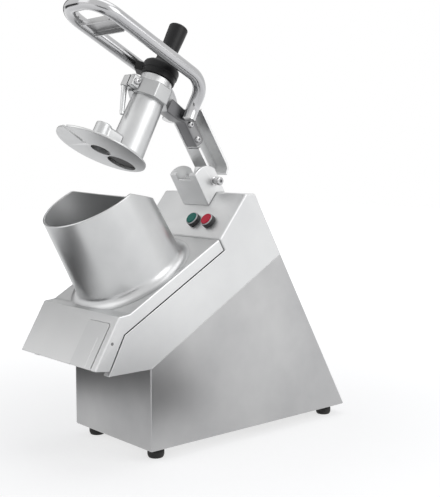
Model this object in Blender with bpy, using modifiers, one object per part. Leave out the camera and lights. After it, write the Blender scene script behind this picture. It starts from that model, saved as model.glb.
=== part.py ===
"""Vegetable cutting machine: sheet steel base, sloping cast head, round hopper and a lever with feed tube.

Metres, +Z up, the table at Z = 0, the operator at -Y. The head slopes, so its pieces are laid out in a
frame turned about X: Y runs up the slope and Z is the axis of the cutting disc. The lever's pieces are
laid out in a frame on the pivot, with Z up the feed tube.
"""
import math

import bmesh
import bpy
from mathutils import Matrix, Vector

# Slopes and general fits
TILT = math.radians(30)
RAISED = math.radians(28)
SEAT = 0.0003
RUNNING = 0.0003
HOLE_CLEARANCE = 0.0003

# The origin stands under the middle of the whole machine
MIDDLE_SIDE = -0.0074
MIDDLE_DEPTH = 0.18775

# Base
BASE_HALF_WIDTH = 0.1192
FOOT_HEIGHT = 0.020
SHEET = 0.0015
FLOOR_SHEET = 0.002
FOOT_RADIUS = 0.015
FOOT_SIDE = 0.092
FOOT_INSET = 0.030

# Head casting
HEAD_HALF_WIDTH = 0.120
SEAM_FRONT_HEIGHT = 0.165
CHEEK_REACH = 0.086
HEAD_REAR = 0.437
DECK = 0.2255
FLANK_CORNER = 0.069
HOUSING_TOP = 0.457
PANEL_FOOT = 0.3225
PANEL_STEP = 0.2495
PANEL_SLOPE = math.radians(21.5)
CAST_WALL = 0.007
RIM_LIP = 0.016
CHUTE_HALF_WIDTH = 0.105
CHUTE_WALL = 0.006
CASTING_EDGE = 0.0025

# Disc, chamber and drive
DISC_PLACE = 0.195
DISC_RADIUS = 0.1025
CHAMBER_RADIUS = 0.107
CHAMBER_FLOOR = 0.195
FLOOR_THICKNESS = 0.008
DISC_TOP = 0.239
DISC_THICKNESS = 0.004
BLADE_LIFT = 0.002
BLADE_THICKNESS = 0.0015
BLADE_INNER = 0.026
BLADE_OUTER = 0.094
BLADE_WIDTH = 0.020
BLADE_SLOT = 0.009
BLADES = 3
HUB_RADIUS = 0.016
HUB_HEIGHT = 0.028
SHAFT_RADIUS = 0.010
SHAFT_TOP = 0.250
SHAFT_BOTTOM = 0.141
BEARING_RADIUS = 0.020
BEARING_WIDTH = 0.012
BOSS_RADIUS = 0.030
BOSS_FOOT = 0.163
SEAL_RADIUS = 0.015
DRIVEN_RADIUS = 0.060
MOTOR_PULLEY_RADIUS = 0.018
PULLEY_BASE = 0.145
PULLEY_WIDTH = 0.015
BELT_THICKNESS = 0.0025
BELT_WIDTH = 0.011
MOTOR_PLACE = 0.345
MOTOR_RADIUS = 0.056
MOTOR_LENGTH = 0.130
MOTOR_SHAFT_RADIUS = 0.007
MOTOR_PLATE_THICKNESS = 0.005
CAPACITOR_RADIUS = 0.020
CAPACITOR_LENGTH = 0.070

# Lid and hopper
LID_HALF_WIDTH = 0.120
LID_TOP = 0.250
LID_REAR = 0.321
LID_WALL = 0.0055
LID_NOSE_REACH = 0.113
LID_NOSE_HEIGHT = 0.177
LIP_PLACE = 0.0756
LIP_TOP = 0.2562
LIP_WIDTH = 0.005
LID_CLEARANCE = 0.0006
BORE_RADIUS = 0.090
HOPPER_WALL = 0.004
HOPPER_DRAFT = 0.006
HOPPER_TOP = 0.410
HOPPER_FILLET = 0.010
MOUTH_CUT_Y = -0.018
MOUTH_CUT_Z = 0.462
MOUTH_CUT_SLOPE = math.radians(8)
HINGE_OUT = 0.128
HINGE_DOWN = 0.152
HINGE_PIN_RADIUS = 0.003
KNUCKLE_RADIUS = 0.0068
KNUCKLE_WIDTH = 0.010
KNUCKLE_RISE = 0.016
KNUCKLE_FALL = 0.008
HINGE_ARM_THICKNESS = 0.009
HINGE_ARM_WIDTH = 0.019
HINGE_PLACES = (0.125, 0.275)

# Front latch, laid out along the front face: up the face and into it
LATCH_LEFT = 0.043
LATCH_RIGHT = 0.105
LATCH_LENGTH = 0.083
LATCH_THICKNESS = 0.004
LATCH_PROUD = 0.0015
LATCH_GAP = 0.0012
LATCH_RELIEF = 0.003
LATCH_PIN_UP = 0.0534
LATCH_PIN_IN = 0.0090
LATCH_PIN_RADIUS = 0.0025
LATCH_BARREL = 0.0050
LATCH_NOSE_UP = 0.012
LATCH_NOSE_DEPTH = 0.0112
CATCH_UP = 0.0205
CATCH_IN = 0.0160
CATCH_RADIUS = 0.004

# Push buttons, on the control face
BUTTON_RADIUS = 0.0108
BUTTON_TRAVEL = 0.003
BUTTON_TOP = 0.0125
BUTTON_UP_FACE = 0.0345
BUTTON_PLACES = {"start": 0.024, "stop": 0.066}
COLLAR_RADIUS = 0.0135
COLLAR_HEIGHT = 0.010
COLLAR_NECK = 0.011
STEM_RADIUS = 0.004

# Post and pivot
PIVOT_Y = 0.211
PIVOT_Z = 0.479
POST_FRONT = 0.388
POST_REAR = 0.436
POST_HALF_WIDTH = 0.038
POST_WALL = 0.005
EAR_Y = 0.1955
EAR_Z = 0.4705
EAR_RADIUS = 0.0365
NOTCH_HALF_WIDTH = 0.0195
NOTCH_FLOOR = 0.330
PIVOT_RADIUS = 0.005
PIVOT_HEAD_OUT = 0.050

# Lever arm: along the arm and across it, both from the pivot
ARM_SLOPE = math.radians(30)
ARM_LENGTH = 0.120
ARM_FRONT = 0.014
ARM_REAR = 0.062
ARM_HALF_WIDTH = 0.0185
ARM_WALL = 0.005
ARM_BOSS = 0.0125
FLANGE_START = 0.022
TONGUE_START = 0.065
TONGUE_DEPTH = 0.022
TONGUE_HALF_WIDTH = 0.0145
ARM_BOLTS = {"arm_bolt_lower": 0.077, "arm_bolt_upper": 0.109}
ARM_BOLT_RADIUS = 0.004

# Feed tube, pusher and pestle: along the tube from the pivot, forward of it
TUBE_OFFSET = 0.0492
TUBE_BORE = 0.0265
TUBE_FOOT_RADIUS = 0.033
TUBE_NECK_RADIUS = 0.0295
TUBE_TOP = 0.113
RING_LOW = 0.068
RING_HIGH = 0.098
RING_WALL = 0.008
PLATE_RADIUS = 0.0835
PLATE_LOW = -0.057
PLATE_THICKNESS = 0.004
HUB_RECESS = 0.0185
RECESS_DEPTH = 0.017
RECESS_WALL = 0.004
PLATE_SLOT = 0.006
PLATE_SLOT_START = 0.040
PESTLE_CLEARANCE = 0.0005
CAP_RADIUS = 0.034
CAP_HEIGHT = 0.031
GRIP_RADIUS = 0.018
GRIP_TOP = 0.225
FINGER_TOP_RADIUS = 0.0052
FINGER_TIP_RADIUS = 0.0040
FINGER_TIP = 0.020

# Handle
HANDLE_RADIUS = 0.012
HANDLE_HALF_WIDTH = 0.056
HANDLE_HEIGHT = 0.140
HANDLE_FRONT = 0.379
HANDLE_CORNER = 0.044
HANDLE_BACK = 0.118
HANDLE_END = 0.074
HANDLE_FOOT_FORWARD = 0.101
CROSS_PLATE_LOW = 0.302
CROSS_PLATE_HIGH = 0.338
CROSS_PLATE_SHEET = 0.002
CROSS_PLATE_FLANGE = 0.012

LOOKS = {
    "cast_aluminium": ((0.66, 0.67, 0.67), 0.42, 1.0),
    "bright_aluminium": ((0.80, 0.81, 0.81), 0.30, 1.0),
    "stainless_sheet": ((0.52, 0.53, 0.53), 0.34, 1.0),
    "polished_steel": ((0.75, 0.76, 0.77), 0.12, 1.0),
    "dark_steel": ((0.20, 0.20, 0.21), 0.35, 1.0),
    "black_plastic": ((0.02, 0.02, 0.022), 0.45, 0.0),
    "white_plastic": ((0.80, 0.80, 0.78), 0.45, 0.0),
    "rubber": ((0.03, 0.03, 0.03), 0.80, 0.0),
    "green_button": ((0.01, 0.16, 0.13), 0.35, 0.0),
    "red_button": ((0.55, 0.02, 0.05), 0.35, 0.0),
}

MACHINE = Matrix.Translation((-MIDDLE_SIDE, -MIDDLE_DEPTH, 0))
HEAD = Matrix.Rotation(TILT, 4, "X")
LEVER = Matrix.Translation((0, PIVOT_Y, PIVOT_Z)) @ Matrix.Rotation(-RAISED, 4, "X")
ARM = LEVER @ Matrix.Rotation(-ARM_SLOPE, 4, "X")
PANEL = HEAD @ Matrix.Translation((0, PANEL_FOOT, PANEL_STEP)) @ Matrix.Rotation(PANEL_SLOPE, 4, "X")
SIDEWAYS = Matrix(((0, 0, 1, 0), (1, 0, 0, 0), (0, 1, 0, 0), (0, 0, 0, 1)))
FACING = Matrix.Rotation(math.radians(90), 4, "X")
ALONG_X = Matrix.Rotation(math.radians(90), 4, "Y")
ALONG_Y = Matrix.Rotation(math.radians(-90), 4, "X")
HOPPER_DISTANCE = (HEAD.inverted() @ Vector((0, PIVOT_Y, PIVOT_Z))).y - DISC_PLACE
TUBE_DISTANCE = HOPPER_DISTANCE - TUBE_OFFSET


def clear_scene():
    """Remove what the start-up file holds."""
    for obj in list(bpy.data.objects):
        bpy.data.objects.remove(obj)


def new_collection(name, hidden=False):
    collection = bpy.data.collections.new(name)
    bpy.context.scene.collection.children.link(collection)
    collection.hide_render = hidden
    return collection


def material(look):
    """The material of a look, made at its first use."""
    if look in bpy.data.materials:
        return bpy.data.materials[look]
    colour, roughness, metallic = LOOKS[look]
    made = bpy.data.materials.new(look)
    made.use_nodes = True
    shader = made.node_tree.nodes["Principled BSDF"]
    shader.inputs["Base Color"].default_value = (*colour, 1)
    shader.inputs["Roughness"].default_value = roughness
    shader.inputs["Metallic"].default_value = metallic
    return made


def put(name, data, frame, look):
    """Link an object into the parts, or into the cutters where it has no look."""
    obj = bpy.data.objects.new(name, data)
    if look:
        PARTS.objects.link(obj)
        own = material(look).copy()
        own.name = name
        data.materials.append(own)
    else:
        CUTTERS.objects.link(obj)
        obj.display_type = "WIRE"
        obj.hide_render = True
    obj.matrix_world = MACHINE @ frame
    return obj


def at(x, y, z):
    return Matrix.Translation((x, y, z))


def arc(centre, radius, start, end, steps):
    """Points of an arc, in degrees, as (first, second) pairs."""
    turns = [math.radians(start + (end - start) * i / steps) for i in range(steps + 1)]
    return [(centre[0] + radius * math.cos(t), centre[1] + radius * math.sin(t)) for t in turns]


def down_slope(y, z):
    """A side view point of the standing frame, in the head's sloping frame."""
    return y * math.cos(TILT) + z * math.sin(TILT), -y * math.sin(TILT) + z * math.cos(TILT)


def flat_mesh(name, loops, thickness):
    """A mesh from 2D outlines, extruded to both sides of their plane; later loops are holes."""
    curve = bpy.data.curves.new(name, "CURVE")
    curve.dimensions = "2D"
    curve.fill_mode = "BOTH"
    curve.extrude = thickness / 2
    for loop in loops:
        spline = curve.splines.new("POLY")
        spline.points.add(len(loop) - 1)
        for point, (first, second) in zip(spline.points, loop):
            point.co = (first, second, 0, 1)
        spline.use_cyclic_u = True
    return curve_mesh(name, curve)


def curve_mesh(name, curve):
    """The closed mesh of a curve, with its caps welded on."""
    carrier = bpy.data.objects.new(name, curve)
    bpy.context.scene.collection.objects.link(carrier)
    graph = bpy.context.evaluated_depsgraph_get()
    mesh = bpy.data.meshes.new_from_object(carrier.evaluated_get(graph))
    bpy.data.objects.remove(carrier)
    mesh.name = name
    shape = bmesh.new()
    shape.from_mesh(mesh)
    bmesh.ops.remove_doubles(shape, verts=shape.verts, dist=1e-6)
    bmesh.ops.dissolve_limit(shape, angle_limit=0.002, verts=shape.verts, edges=shape.edges)
    bmesh.ops.recalc_face_normals(shape, faces=shape.faces)
    shape.to_mesh(mesh)
    shape.free()
    return mesh


def plate(name, outline, low, high, frame, look=None):
    """An outline in the frame's YZ plane, filled from low to high along X."""
    mesh = flat_mesh(name, [outline], high - low)
    return put(name, mesh, frame @ at((low + high) / 2, 0, 0) @ SIDEWAYS, look)


def slab(name, outline, low, high, frame, look=None, holes=()):
    """An outline in the frame's XY plane, filled from low to high along Z."""
    mesh = flat_mesh(name, [outline, *holes], high - low)
    return put(name, mesh, frame @ at(0, 0, (low + high) / 2), look)


def box(name, low, high, frame, look=None):
    mesh = bpy.data.meshes.new(name)
    shape = bmesh.new()
    size = [b - a for a, b in zip(low, high)]
    middle = [(a + b) / 2 for a, b in zip(low, high)]
    bmesh.ops.create_cube(shape, size=1, matrix=at(*middle) @ Matrix.Diagonal((*size, 1)))
    shape.to_mesh(mesh)
    shape.free()
    return put(name, mesh, frame, look)


def rod(name, radius, low, high, frame, look=None, tip=None, sides=32):
    """A cylinder along the frame's Z, or a cone where the tip has its own radius."""
    mesh = bpy.data.meshes.new(name)
    shape = bmesh.new()
    bmesh.ops.create_cone(
        shape,
        cap_ends=True,
        segments=sides,
        radius1=radius,
        radius2=radius if tip is None else tip,
        depth=high - low,
        matrix=at(0, 0, (low + high) / 2),
    )
    shape.to_mesh(mesh)
    shape.free()
    return put(name, mesh, frame, look)


def turned(name, profile, frame, look=None, ring=False, steps=48):
    """A profile of (radius, height) pairs, turned about the frame's Z."""
    mesh = bpy.data.meshes.new(name)
    shape = bmesh.new()
    corners = [shape.verts.new((radius, 0, height)) for radius, height in profile]
    for first, second in zip(corners, corners[1:]):
        shape.edges.new((first, second))
    if ring:
        shape.edges.new((corners[-1], corners[0]))
    shape.to_mesh(mesh)
    shape.free()
    obj = put(name, mesh, frame, look)
    screw = obj.modifiers.new("Turn", "SCREW")
    screw.steps = steps
    screw.render_steps = steps
    screw.use_merge_vertices = True
    screw.merge_threshold = 0.00001
    screw.use_smooth_shade = True
    return obj


def ring(name, inner, outer, low, high, frame, look=None, steps=48):
    profile = [(outer, high), (outer, low), (inner, low), (inner, high)]
    return turned(name, profile, frame, look, ring=True, steps=steps)


def tube_path(name, points, radius, frame, look):
    """A round bar or tube along a path of points."""
    curve = bpy.data.curves.new(name, "CURVE")
    curve.dimensions = "3D"
    curve.bevel_depth = radius
    curve.bevel_resolution = 6
    curve.use_fill_caps = True
    spline = curve.splines.new("POLY")
    spline.points.add(len(points) - 1)
    for point, place in zip(spline.points, points):
        point.co = (*place, 1)
    return put(name, curve_mesh(name, curve), frame, look)


def rounded_path(corners, radii, steps=7):
    """A path through corners, each rounded by an arc of its own radius."""
    corners = [Vector(corner) for corner in corners]
    points = [corners[0]]
    for before, corner, after, radius in zip(corners, corners[1:], corners[2:], radii):
        back = (before - corner).normalized()
        ahead = (after - corner).normalized()
        half = back.angle(ahead) / 2
        centre = corner + (back + ahead).normalized() * radius / math.sin(half)
        start = corner + back * radius / math.tan(half) - centre
        end = corner + ahead * radius / math.tan(half) - centre
        for i in range(steps + 1):
            points.append(centre + start.slerp(end, i / steps) * radius)
    return points + [corners[-1]]


def work(obj, tool, operation="DIFFERENCE"):
    """Cut a tool out of an object, or join it on."""
    change = obj.modifiers.new(tool.name, "BOOLEAN")
    change.operation = operation
    change.object = tool
    change.solver = "EXACT"
    return obj


def join(obj, tool):
    return work(obj, tool, "UNION")


def soften(obj, width, angle=40, segments=2):
    bevel = obj.modifiers.new("Edges", "BEVEL")
    bevel.width = width
    bevel.segments = segments
    bevel.limit_method = "ANGLE"
    bevel.angle_limit = math.radians(angle)
    return obj


def smooth(obj):
    """Shade a plain round piece smooth."""
    for face in obj.data.polygons:
        face.use_smooth = True
    return obj


def axis_empty(name, frame):
    """An empty on a joint's axis, for the pieces that turn or slide there."""
    empty = bpy.data.objects.new(name, None)
    PARTS.objects.link(empty)
    empty.matrix_world = MACHINE @ frame
    return empty


def carry(empty, pieces):
    """Parent pieces to an empty without moving them."""
    for piece in pieces:
        piece.parent = empty
        piece.matrix_parent_inverse = empty.matrix_world.inverted()


def seam_level():
    return SEAM_FRONT_HEIGHT * math.cos(TILT)


def slope_point(y, level):
    """The sloping frame's Y of a standing plane at y, at a level along the disc axis."""
    return (y + level * math.sin(TILT)) / math.cos(TILT)


def panel_top():
    """Where the control face meets the level top of the housing, in the head's frame."""
    rise = HOUSING_TOP - PANEL_FOOT * math.sin(TILT) - PANEL_STEP * math.cos(TILT)
    run = rise / math.sin(TILT + PANEL_SLOPE)
    return PANEL_FOOT + run * math.cos(PANEL_SLOPE), PANEL_STEP + run * math.sin(PANEL_SLOPE)


def housing_level(place):
    """The level top of the housing at a place up the slope, in the head's frame."""
    return (HOUSING_TOP - place * math.sin(TILT)) / math.cos(TILT)


def flank_slope():
    foot = down_slope(-CHEEK_REACH, SEAM_FRONT_HEIGHT)
    return math.atan2(DECK - foot[1], FLANK_CORNER - foot[0])


def build_base():
    """Sheet steel housing, open above and below, on a floor plate with four rubber feet."""
    rear_foot = (HEAD_REAR - FOOT_HEIGHT * math.sin(TILT)) / math.cos(TILT)
    top = seam_level() - SEAT
    front_top = (0.0, top / math.cos(TILT))
    rear_y = HEAD_REAR * math.cos(TILT) - top * math.sin(TILT)
    rear_z = HEAD_REAR * math.sin(TILT) + top * math.cos(TILT)
    outline = [(0.0, FOOT_HEIGHT), (rear_foot, FOOT_HEIGHT), (rear_y, rear_z), front_top]
    shell = plate("base_shell", outline, -BASE_HALF_WIDTH, BASE_HALF_WIDTH, Matrix(), "stainless_sheet")
    slant = SHEET / math.cos(TILT)
    spill = 0.02
    lean = spill * math.tan(TILT)
    inside = [
        (SHEET, FOOT_HEIGHT - spill),
        (rear_foot - slant + lean, FOOT_HEIGHT - spill),
        (rear_y - slant - lean, rear_z + spill),
        (SHEET, front_top[1] + spill),
    ]
    half = BASE_HALF_WIDTH - SHEET
    soften(shell, 0.0015)
    work(shell, plate("base_inside", inside, -half, half, Matrix()))

    floor_rear = rear_foot - slant - FLOOR_SHEET * math.tan(TILT) - SEAT
    low = (-half + SEAT, SHEET + SEAT, FOOT_HEIGHT)
    floor = box("base_plate", low, (half - SEAT, floor_rear, FOOT_HEIGHT + FLOOR_SHEET), Matrix(), "stainless_sheet")
    vent = box("vent_slot", (-0.002, -0.035, -0.01), (0.002, 0.035, 0.01), at(0, MOTOR_PLACE * math.cos(TILT), FOOT_HEIGHT))
    for side in (-0.036, -0.012, 0.012, 0.036):
        slot = vent.copy()
        CUTTERS.objects.link(slot)
        slot.location.x += side
        work(floor, slot)
    bpy.data.objects.remove(vent)

    for depth, row in ((FOOT_INSET, "front"), (floor_rear - FOOT_INSET, "rear")):
        for side, hand in ((-FOOT_SIDE, "left"), (FOOT_SIDE, "right")):
            top_radius = FOOT_RADIUS * 0.8
            profile = [(0, FOOT_HEIGHT - SEAT), (FOOT_RADIUS, FOOT_HEIGHT - SEAT), (FOOT_RADIUS, 0.006), (top_radius, 0), (0, 0)]
            turned(f"foot_{row}_{hand}", profile, at(side, depth, 0), "rubber", steps=24)

    stand = FOOT_HEIGHT + FLOOR_SHEET + SEAT
    capacitor = [
        (0, CAPACITOR_LENGTH),
        (CAPACITOR_RADIUS - 0.002, CAPACITOR_LENGTH),
        (CAPACITOR_RADIUS, CAPACITOR_LENGTH - 0.002),
        (CAPACITOR_RADIUS, 0),
        (0, 0),
    ]
    turned("run_capacitor", capacitor, at(0.075, 0.080, stand), "bright_aluminium", steps=24)

    gland_place = 0.100
    wall = HEAD @ at(-0.070, HEAD_REAR, -gland_place) @ ALONG_Y
    neck = 0.008
    profile = [
        (0.0035, 0.020),
        (0.009, 0.020),
        (0.010, 0.016),
        (0.011, 0.007),
        (0.011, SEAT),
        (neck, SEAT),
        (neck, -0.010),
        (0.0035, -0.010),
    ]
    turned("cable_gland", profile, wall, "black_plastic", ring=True, steps=24)
    work(shell, rod("gland_hole", neck + HOLE_CLEARANCE, -0.010, 0.010, wall))


def build_head():
    """Aluminium casting: cheeks, chamber floor with its bearing boss, and the control housing."""
    seam = seam_level()
    foot = down_slope(-CHEEK_REACH, SEAM_FRONT_HEIGHT)
    outline = [
        down_slope(0, SEAM_FRONT_HEIGHT),
        (HEAD_REAR, seam),
        (HEAD_REAR, housing_level(HEAD_REAR)),
        panel_top(),
        (PANEL_FOOT, PANEL_STEP),
        (PANEL_FOOT, DECK),
        (FLANK_CORNER, DECK),
        foot,
    ]
    head = plate("head_body", outline, -HEAD_HALF_WIDTH, HEAD_HALF_WIDTH, HEAD, "cast_aluminium")
    soften(head, CASTING_EDGE)

    ceiling = CHAMBER_FLOOR - FLOOR_THICKNESS
    behind = PANEL_FOOT + CAST_WALL
    rear = HEAD_REAR - CAST_WALL
    top_u, top_v = panel_top()
    inside = [
        (slope_point(CHUTE_WALL, seam - 0.010), seam - 0.010),
        (rear, seam - 0.010),
        (rear, housing_level(rear) - CAST_WALL * 1.15),
        (top_u - CAST_WALL * 0.6, top_v - CAST_WALL * 1.1),
        (behind, PANEL_STEP - CAST_WALL + CAST_WALL * math.tan(PANEL_SLOPE)),
        (behind, DECK - CAST_WALL),
        (slope_point(CHUTE_WALL, DECK - CAST_WALL), DECK - CAST_WALL),
    ]
    half = HEAD_HALF_WIDTH - CAST_WALL
    lip = 0.007
    upper = plate("head_inside", inside, -half, half, HEAD)
    keep = box("rim_lip", (-HEAD_HALF_WIDTH, 0, seam - 0.02), (-HEAD_HALF_WIDTH + RIM_LIP, 0.5, seam + lip), HEAD)
    keep_right = box("rim_lip_right", (HEAD_HALF_WIDTH - RIM_LIP, 0, seam - 0.02), (HEAD_HALF_WIDTH, 0.5, seam + lip), HEAD)
    work(upper, keep)
    work(upper, keep_right)
    disc_axis = HEAD @ at(0, DISC_PLACE, 0)
    work(upper, rod("chamber_wall", CHAMBER_RADIUS + CAST_WALL, ceiling, DECK, disc_axis, sides=64))
    work(head, upper)

    work(head, rod("chamber", CHAMBER_RADIUS, CHAMBER_FLOOR, DECK + 0.02, disc_axis, sides=64))
    low = (-CHUTE_HALF_WIDTH, -0.2, 0.10)
    chute = box("chute", low, (CHUTE_HALF_WIDTH, -CHUTE_WALL, 0.32), Matrix())
    work(head, chute)
    join(head, rod("bearing_boss", BOSS_RADIUS, BOSS_FOOT, ceiling + 0.002, disc_axis, sides=48))
    bearing_top = BOSS_FOOT + 0.002 + 2 * BEARING_WIDTH + 0.0015
    work(head, rod("bearing_pocket", BEARING_RADIUS + SEAT, BOSS_FOOT - 0.005, bearing_top, disc_axis, sides=48))
    work(head, rod("seal_pocket", SEAL_RADIUS + SEAT, bearing_top - 0.001, CHAMBER_FLOOR + 0.01, disc_axis, sides=48))

    for name, side in BUTTON_PLACES.items():
        hole = rod(f"{name}_hole", COLLAR_NECK + HOLE_CLEARANCE, -0.030, 0.020, PANEL @ at(side, BUTTON_UP_FACE, 0))
        work(head, hole)

    for number, place in enumerate(HINGE_PLACES):
        reach = HINGE_ARM_WIDTH / 2 + 2 * SEAT
        for side in (-1, 1):
            centre = place + side * (reach + KNUCKLE_WIDTH / 2)
            outline = [(-HEAD_HALF_WIDTH + 0.001, HINGE_DOWN + KNUCKLE_RISE), *arc((-HINGE_OUT, HINGE_DOWN), KNUCKLE_RADIUS, 90, 270, 10)]
            outline += [(-HEAD_HALF_WIDTH + 0.001, HINGE_DOWN - KNUCKLE_FALL)]
            knuckle = slab(f"knuckle_{number}_{side}", outline, -KNUCKLE_WIDTH / 2, KNUCKLE_WIDTH / 2, HEAD @ at(0, centre, 0) @ FACING)
            join(head, knuckle)
    hinge = HEAD @ at(-HINGE_OUT, 0, HINGE_DOWN) @ ALONG_Y
    low, high = HINGE_PLACES[0] - 0.024, HINGE_PLACES[1] + 0.024
    work(head, rod("hinge_bore", HINGE_PIN_RADIUS + RUNNING, low - 0.01, high + 0.01, hinge, sides=24))
    smooth(rod("lid_hinge_pin", HINGE_PIN_RADIUS, low, high, hinge, "polished_steel", sides=24))


def face_frame():
    """The lid's sloping front face: Y up the face, Z out of it, from the middle of its lower edge."""
    return at(0, -LID_NOSE_REACH, LID_NOSE_HEIGHT) @ Matrix.Rotation(2 * TILT, 4, "X")


def build_lid():
    """Lid casting over the chamber and the outlet, with two hinge arms on its left side."""
    slope = flank_slope()
    foot = down_slope(-CHEEK_REACH, SEAM_FRONT_HEIGHT)
    lift = 0.008
    inner_foot = (
        foot[0] + lift * math.cos(slope) - LID_CLEARANCE * math.sin(slope),
        foot[1] + lift * math.sin(slope) + LID_CLEARANCE * math.cos(slope),
    )
    corner = (FLANK_CORNER - LID_CLEARANCE * math.tan(slope / 2), DECK + LID_CLEARANCE)
    nose = down_slope(-LID_NOSE_REACH, LID_NOSE_HEIGHT)
    front_top = (LIP_PLACE, nose[1] + (LIP_PLACE - nose[0]) * math.tan(TILT))
    outline = [
        nose,
        inner_foot,
        corner,
        (LID_REAR, corner[1]),
        (LID_REAR, LID_TOP),
        (LIP_PLACE + 2 * LIP_WIDTH, LID_TOP),
        (LIP_PLACE + LIP_WIDTH, LIP_TOP - 0.003),
        (LIP_PLACE + 0.003, LIP_TOP),
        (front_top[0] - 0.004, front_top[1] - 0.0035),
    ]
    lid = plate("lid_cover", outline, -LID_HALF_WIDTH, LID_HALF_WIDTH, HEAD, "cast_aluminium")
    soften(lid, CASTING_EDGE)

    under = LID_TOP - LID_WALL
    shift = (LID_WALL * math.sin(TILT), -LID_WALL * math.cos(TILT))
    start = (nose[0] + shift[0], nose[1] + shift[1])
    run = (under - start[1]) / math.tan(TILT)
    back = 0.03
    inside = [
        (start[0] - back * math.cos(TILT), start[1] - back * math.sin(TILT)),
        (start[0] + run, under),
        (LID_REAR - LID_WALL, under),
        (LID_REAR - LID_WALL, DECK - 0.06),
        (start[0] - back * math.cos(TILT), DECK - 0.06),
    ]
    half = LID_HALF_WIDTH - LID_WALL
    work(lid, plate("lid_inside", inside, -half, half, HEAD))
    work(lid, rod("lid_bore", BORE_RADIUS, DECK, LID_TOP + 0.02, HEAD @ at(0, DISC_PLACE, 0), sides=64))

    for number, place in enumerate(HINGE_PLACES):
        inner = LID_HALF_WIDTH + 0.0012
        outline = [
            (-LID_HALF_WIDTH + 0.002, LID_TOP - 0.006),
            (-LID_HALF_WIDTH + 0.002, DECK + 0.004),
            (-inner, DECK + 0.001),
            *arc((-HINGE_OUT, HINGE_DOWN), KNUCKLE_RADIUS, 0, -180, 10),
            (-inner - HINGE_ARM_THICKNESS, HINGE_DOWN + KNUCKLE_RISE),
            (-inner - HINGE_ARM_THICKNESS, DECK + 0.006),
            (-LID_HALF_WIDTH - 0.004, LID_TOP - 0.006),
        ]
        half_width = HINGE_ARM_WIDTH / 2
        arm = slab(f"hinge_arm_{number}", outline, -half_width, half_width, HEAD @ at(0, place, 0) @ FACING)
        join(lid, arm)
    hinge = HEAD @ at(-HINGE_OUT, 0, HINGE_DOWN) @ ALONG_Y
    work(lid, rod("lid_hinge_bore", HINGE_PIN_RADIUS + RUNNING, 0.05, 0.35, hinge, sides=24))

    face = face_frame()
    low = (LATCH_LEFT - LATCH_GAP, -0.05, -0.018)
    recess = box("latch_recess", low, (LATCH_RIGHT + LATCH_GAP, LATCH_LENGTH + LATCH_GAP, 0.02), face)
    work(lid, recess)
    # the strip's upper end turns inward here
    low = (LATCH_LEFT - LATCH_GAP, LATCH_LENGTH - 0.005, -0.018)
    high = (LATCH_RIGHT + LATCH_GAP, LATCH_LENGTH + LATCH_RELIEF, -LID_WALL / 2)
    work(lid, box("latch_relief", low, high, face))
    ear = LATCH_BARREL + 0.002
    low = (LATCH_LEFT - 0.008, LATCH_PIN_UP - ear, -LATCH_PIN_IN - LATCH_BARREL)
    join(lid, box("latch_ear", low, (LATCH_LEFT - LATCH_GAP, LATCH_PIN_UP + ear, -LID_WALL / 2), face))
    pin = face @ at(0, LATCH_PIN_UP, -LATCH_PIN_IN) @ ALONG_X
    low = LATCH_LEFT - 0.006
    work(lid, rod("latch_pin_hole", LATCH_PIN_RADIUS + SEAT, low - SEAT, LID_HALF_WIDTH + 0.01, pin, sides=24))
    latch_pin = smooth(rod("latch_pin", LATCH_PIN_RADIUS, low, LID_HALF_WIDTH, pin, "dark_steel", sides=24))

    foot_radius = BORE_RADIUS + HOPPER_WALL + HOPPER_DRAFT
    base = LID_TOP + SEAT
    rim = BORE_RADIUS + HOPPER_WALL
    profile = [
        (rim - 0.001, HOPPER_TOP),
        (rim, HOPPER_TOP - 0.001),
        (foot_radius, base + HOPPER_FILLET),
        *arc((foot_radius + HOPPER_FILLET - 0.002, base + HOPPER_FILLET), HOPPER_FILLET - 0.002, 195, 270, 4),
        (foot_radius + HOPPER_FILLET - 0.002, base),
        (BORE_RADIUS, base),
        (BORE_RADIUS, HOPPER_TOP - 0.001),
        (BORE_RADIUS + 0.001, HOPPER_TOP),
    ]
    hopper = turned("hopper", profile, HEAD @ at(0, DISC_PLACE, 0), "cast_aluminium", ring=True, steps=72)
    cut = at(0, MOUTH_CUT_Y, MOUTH_CUT_Z) @ Matrix.Rotation(-MOUTH_CUT_SLOPE, 4, "X")
    work(hopper, box("mouth_cut", (-0.2, -0.2, 0), (0.2, 0.3, 0.2), cut))
    empty = axis_empty("lid_axis", HEAD @ at(-HINGE_OUT, DISC_PLACE, HINGE_DOWN))
    carry(empty, [lid, hopper, latch_pin])


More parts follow.
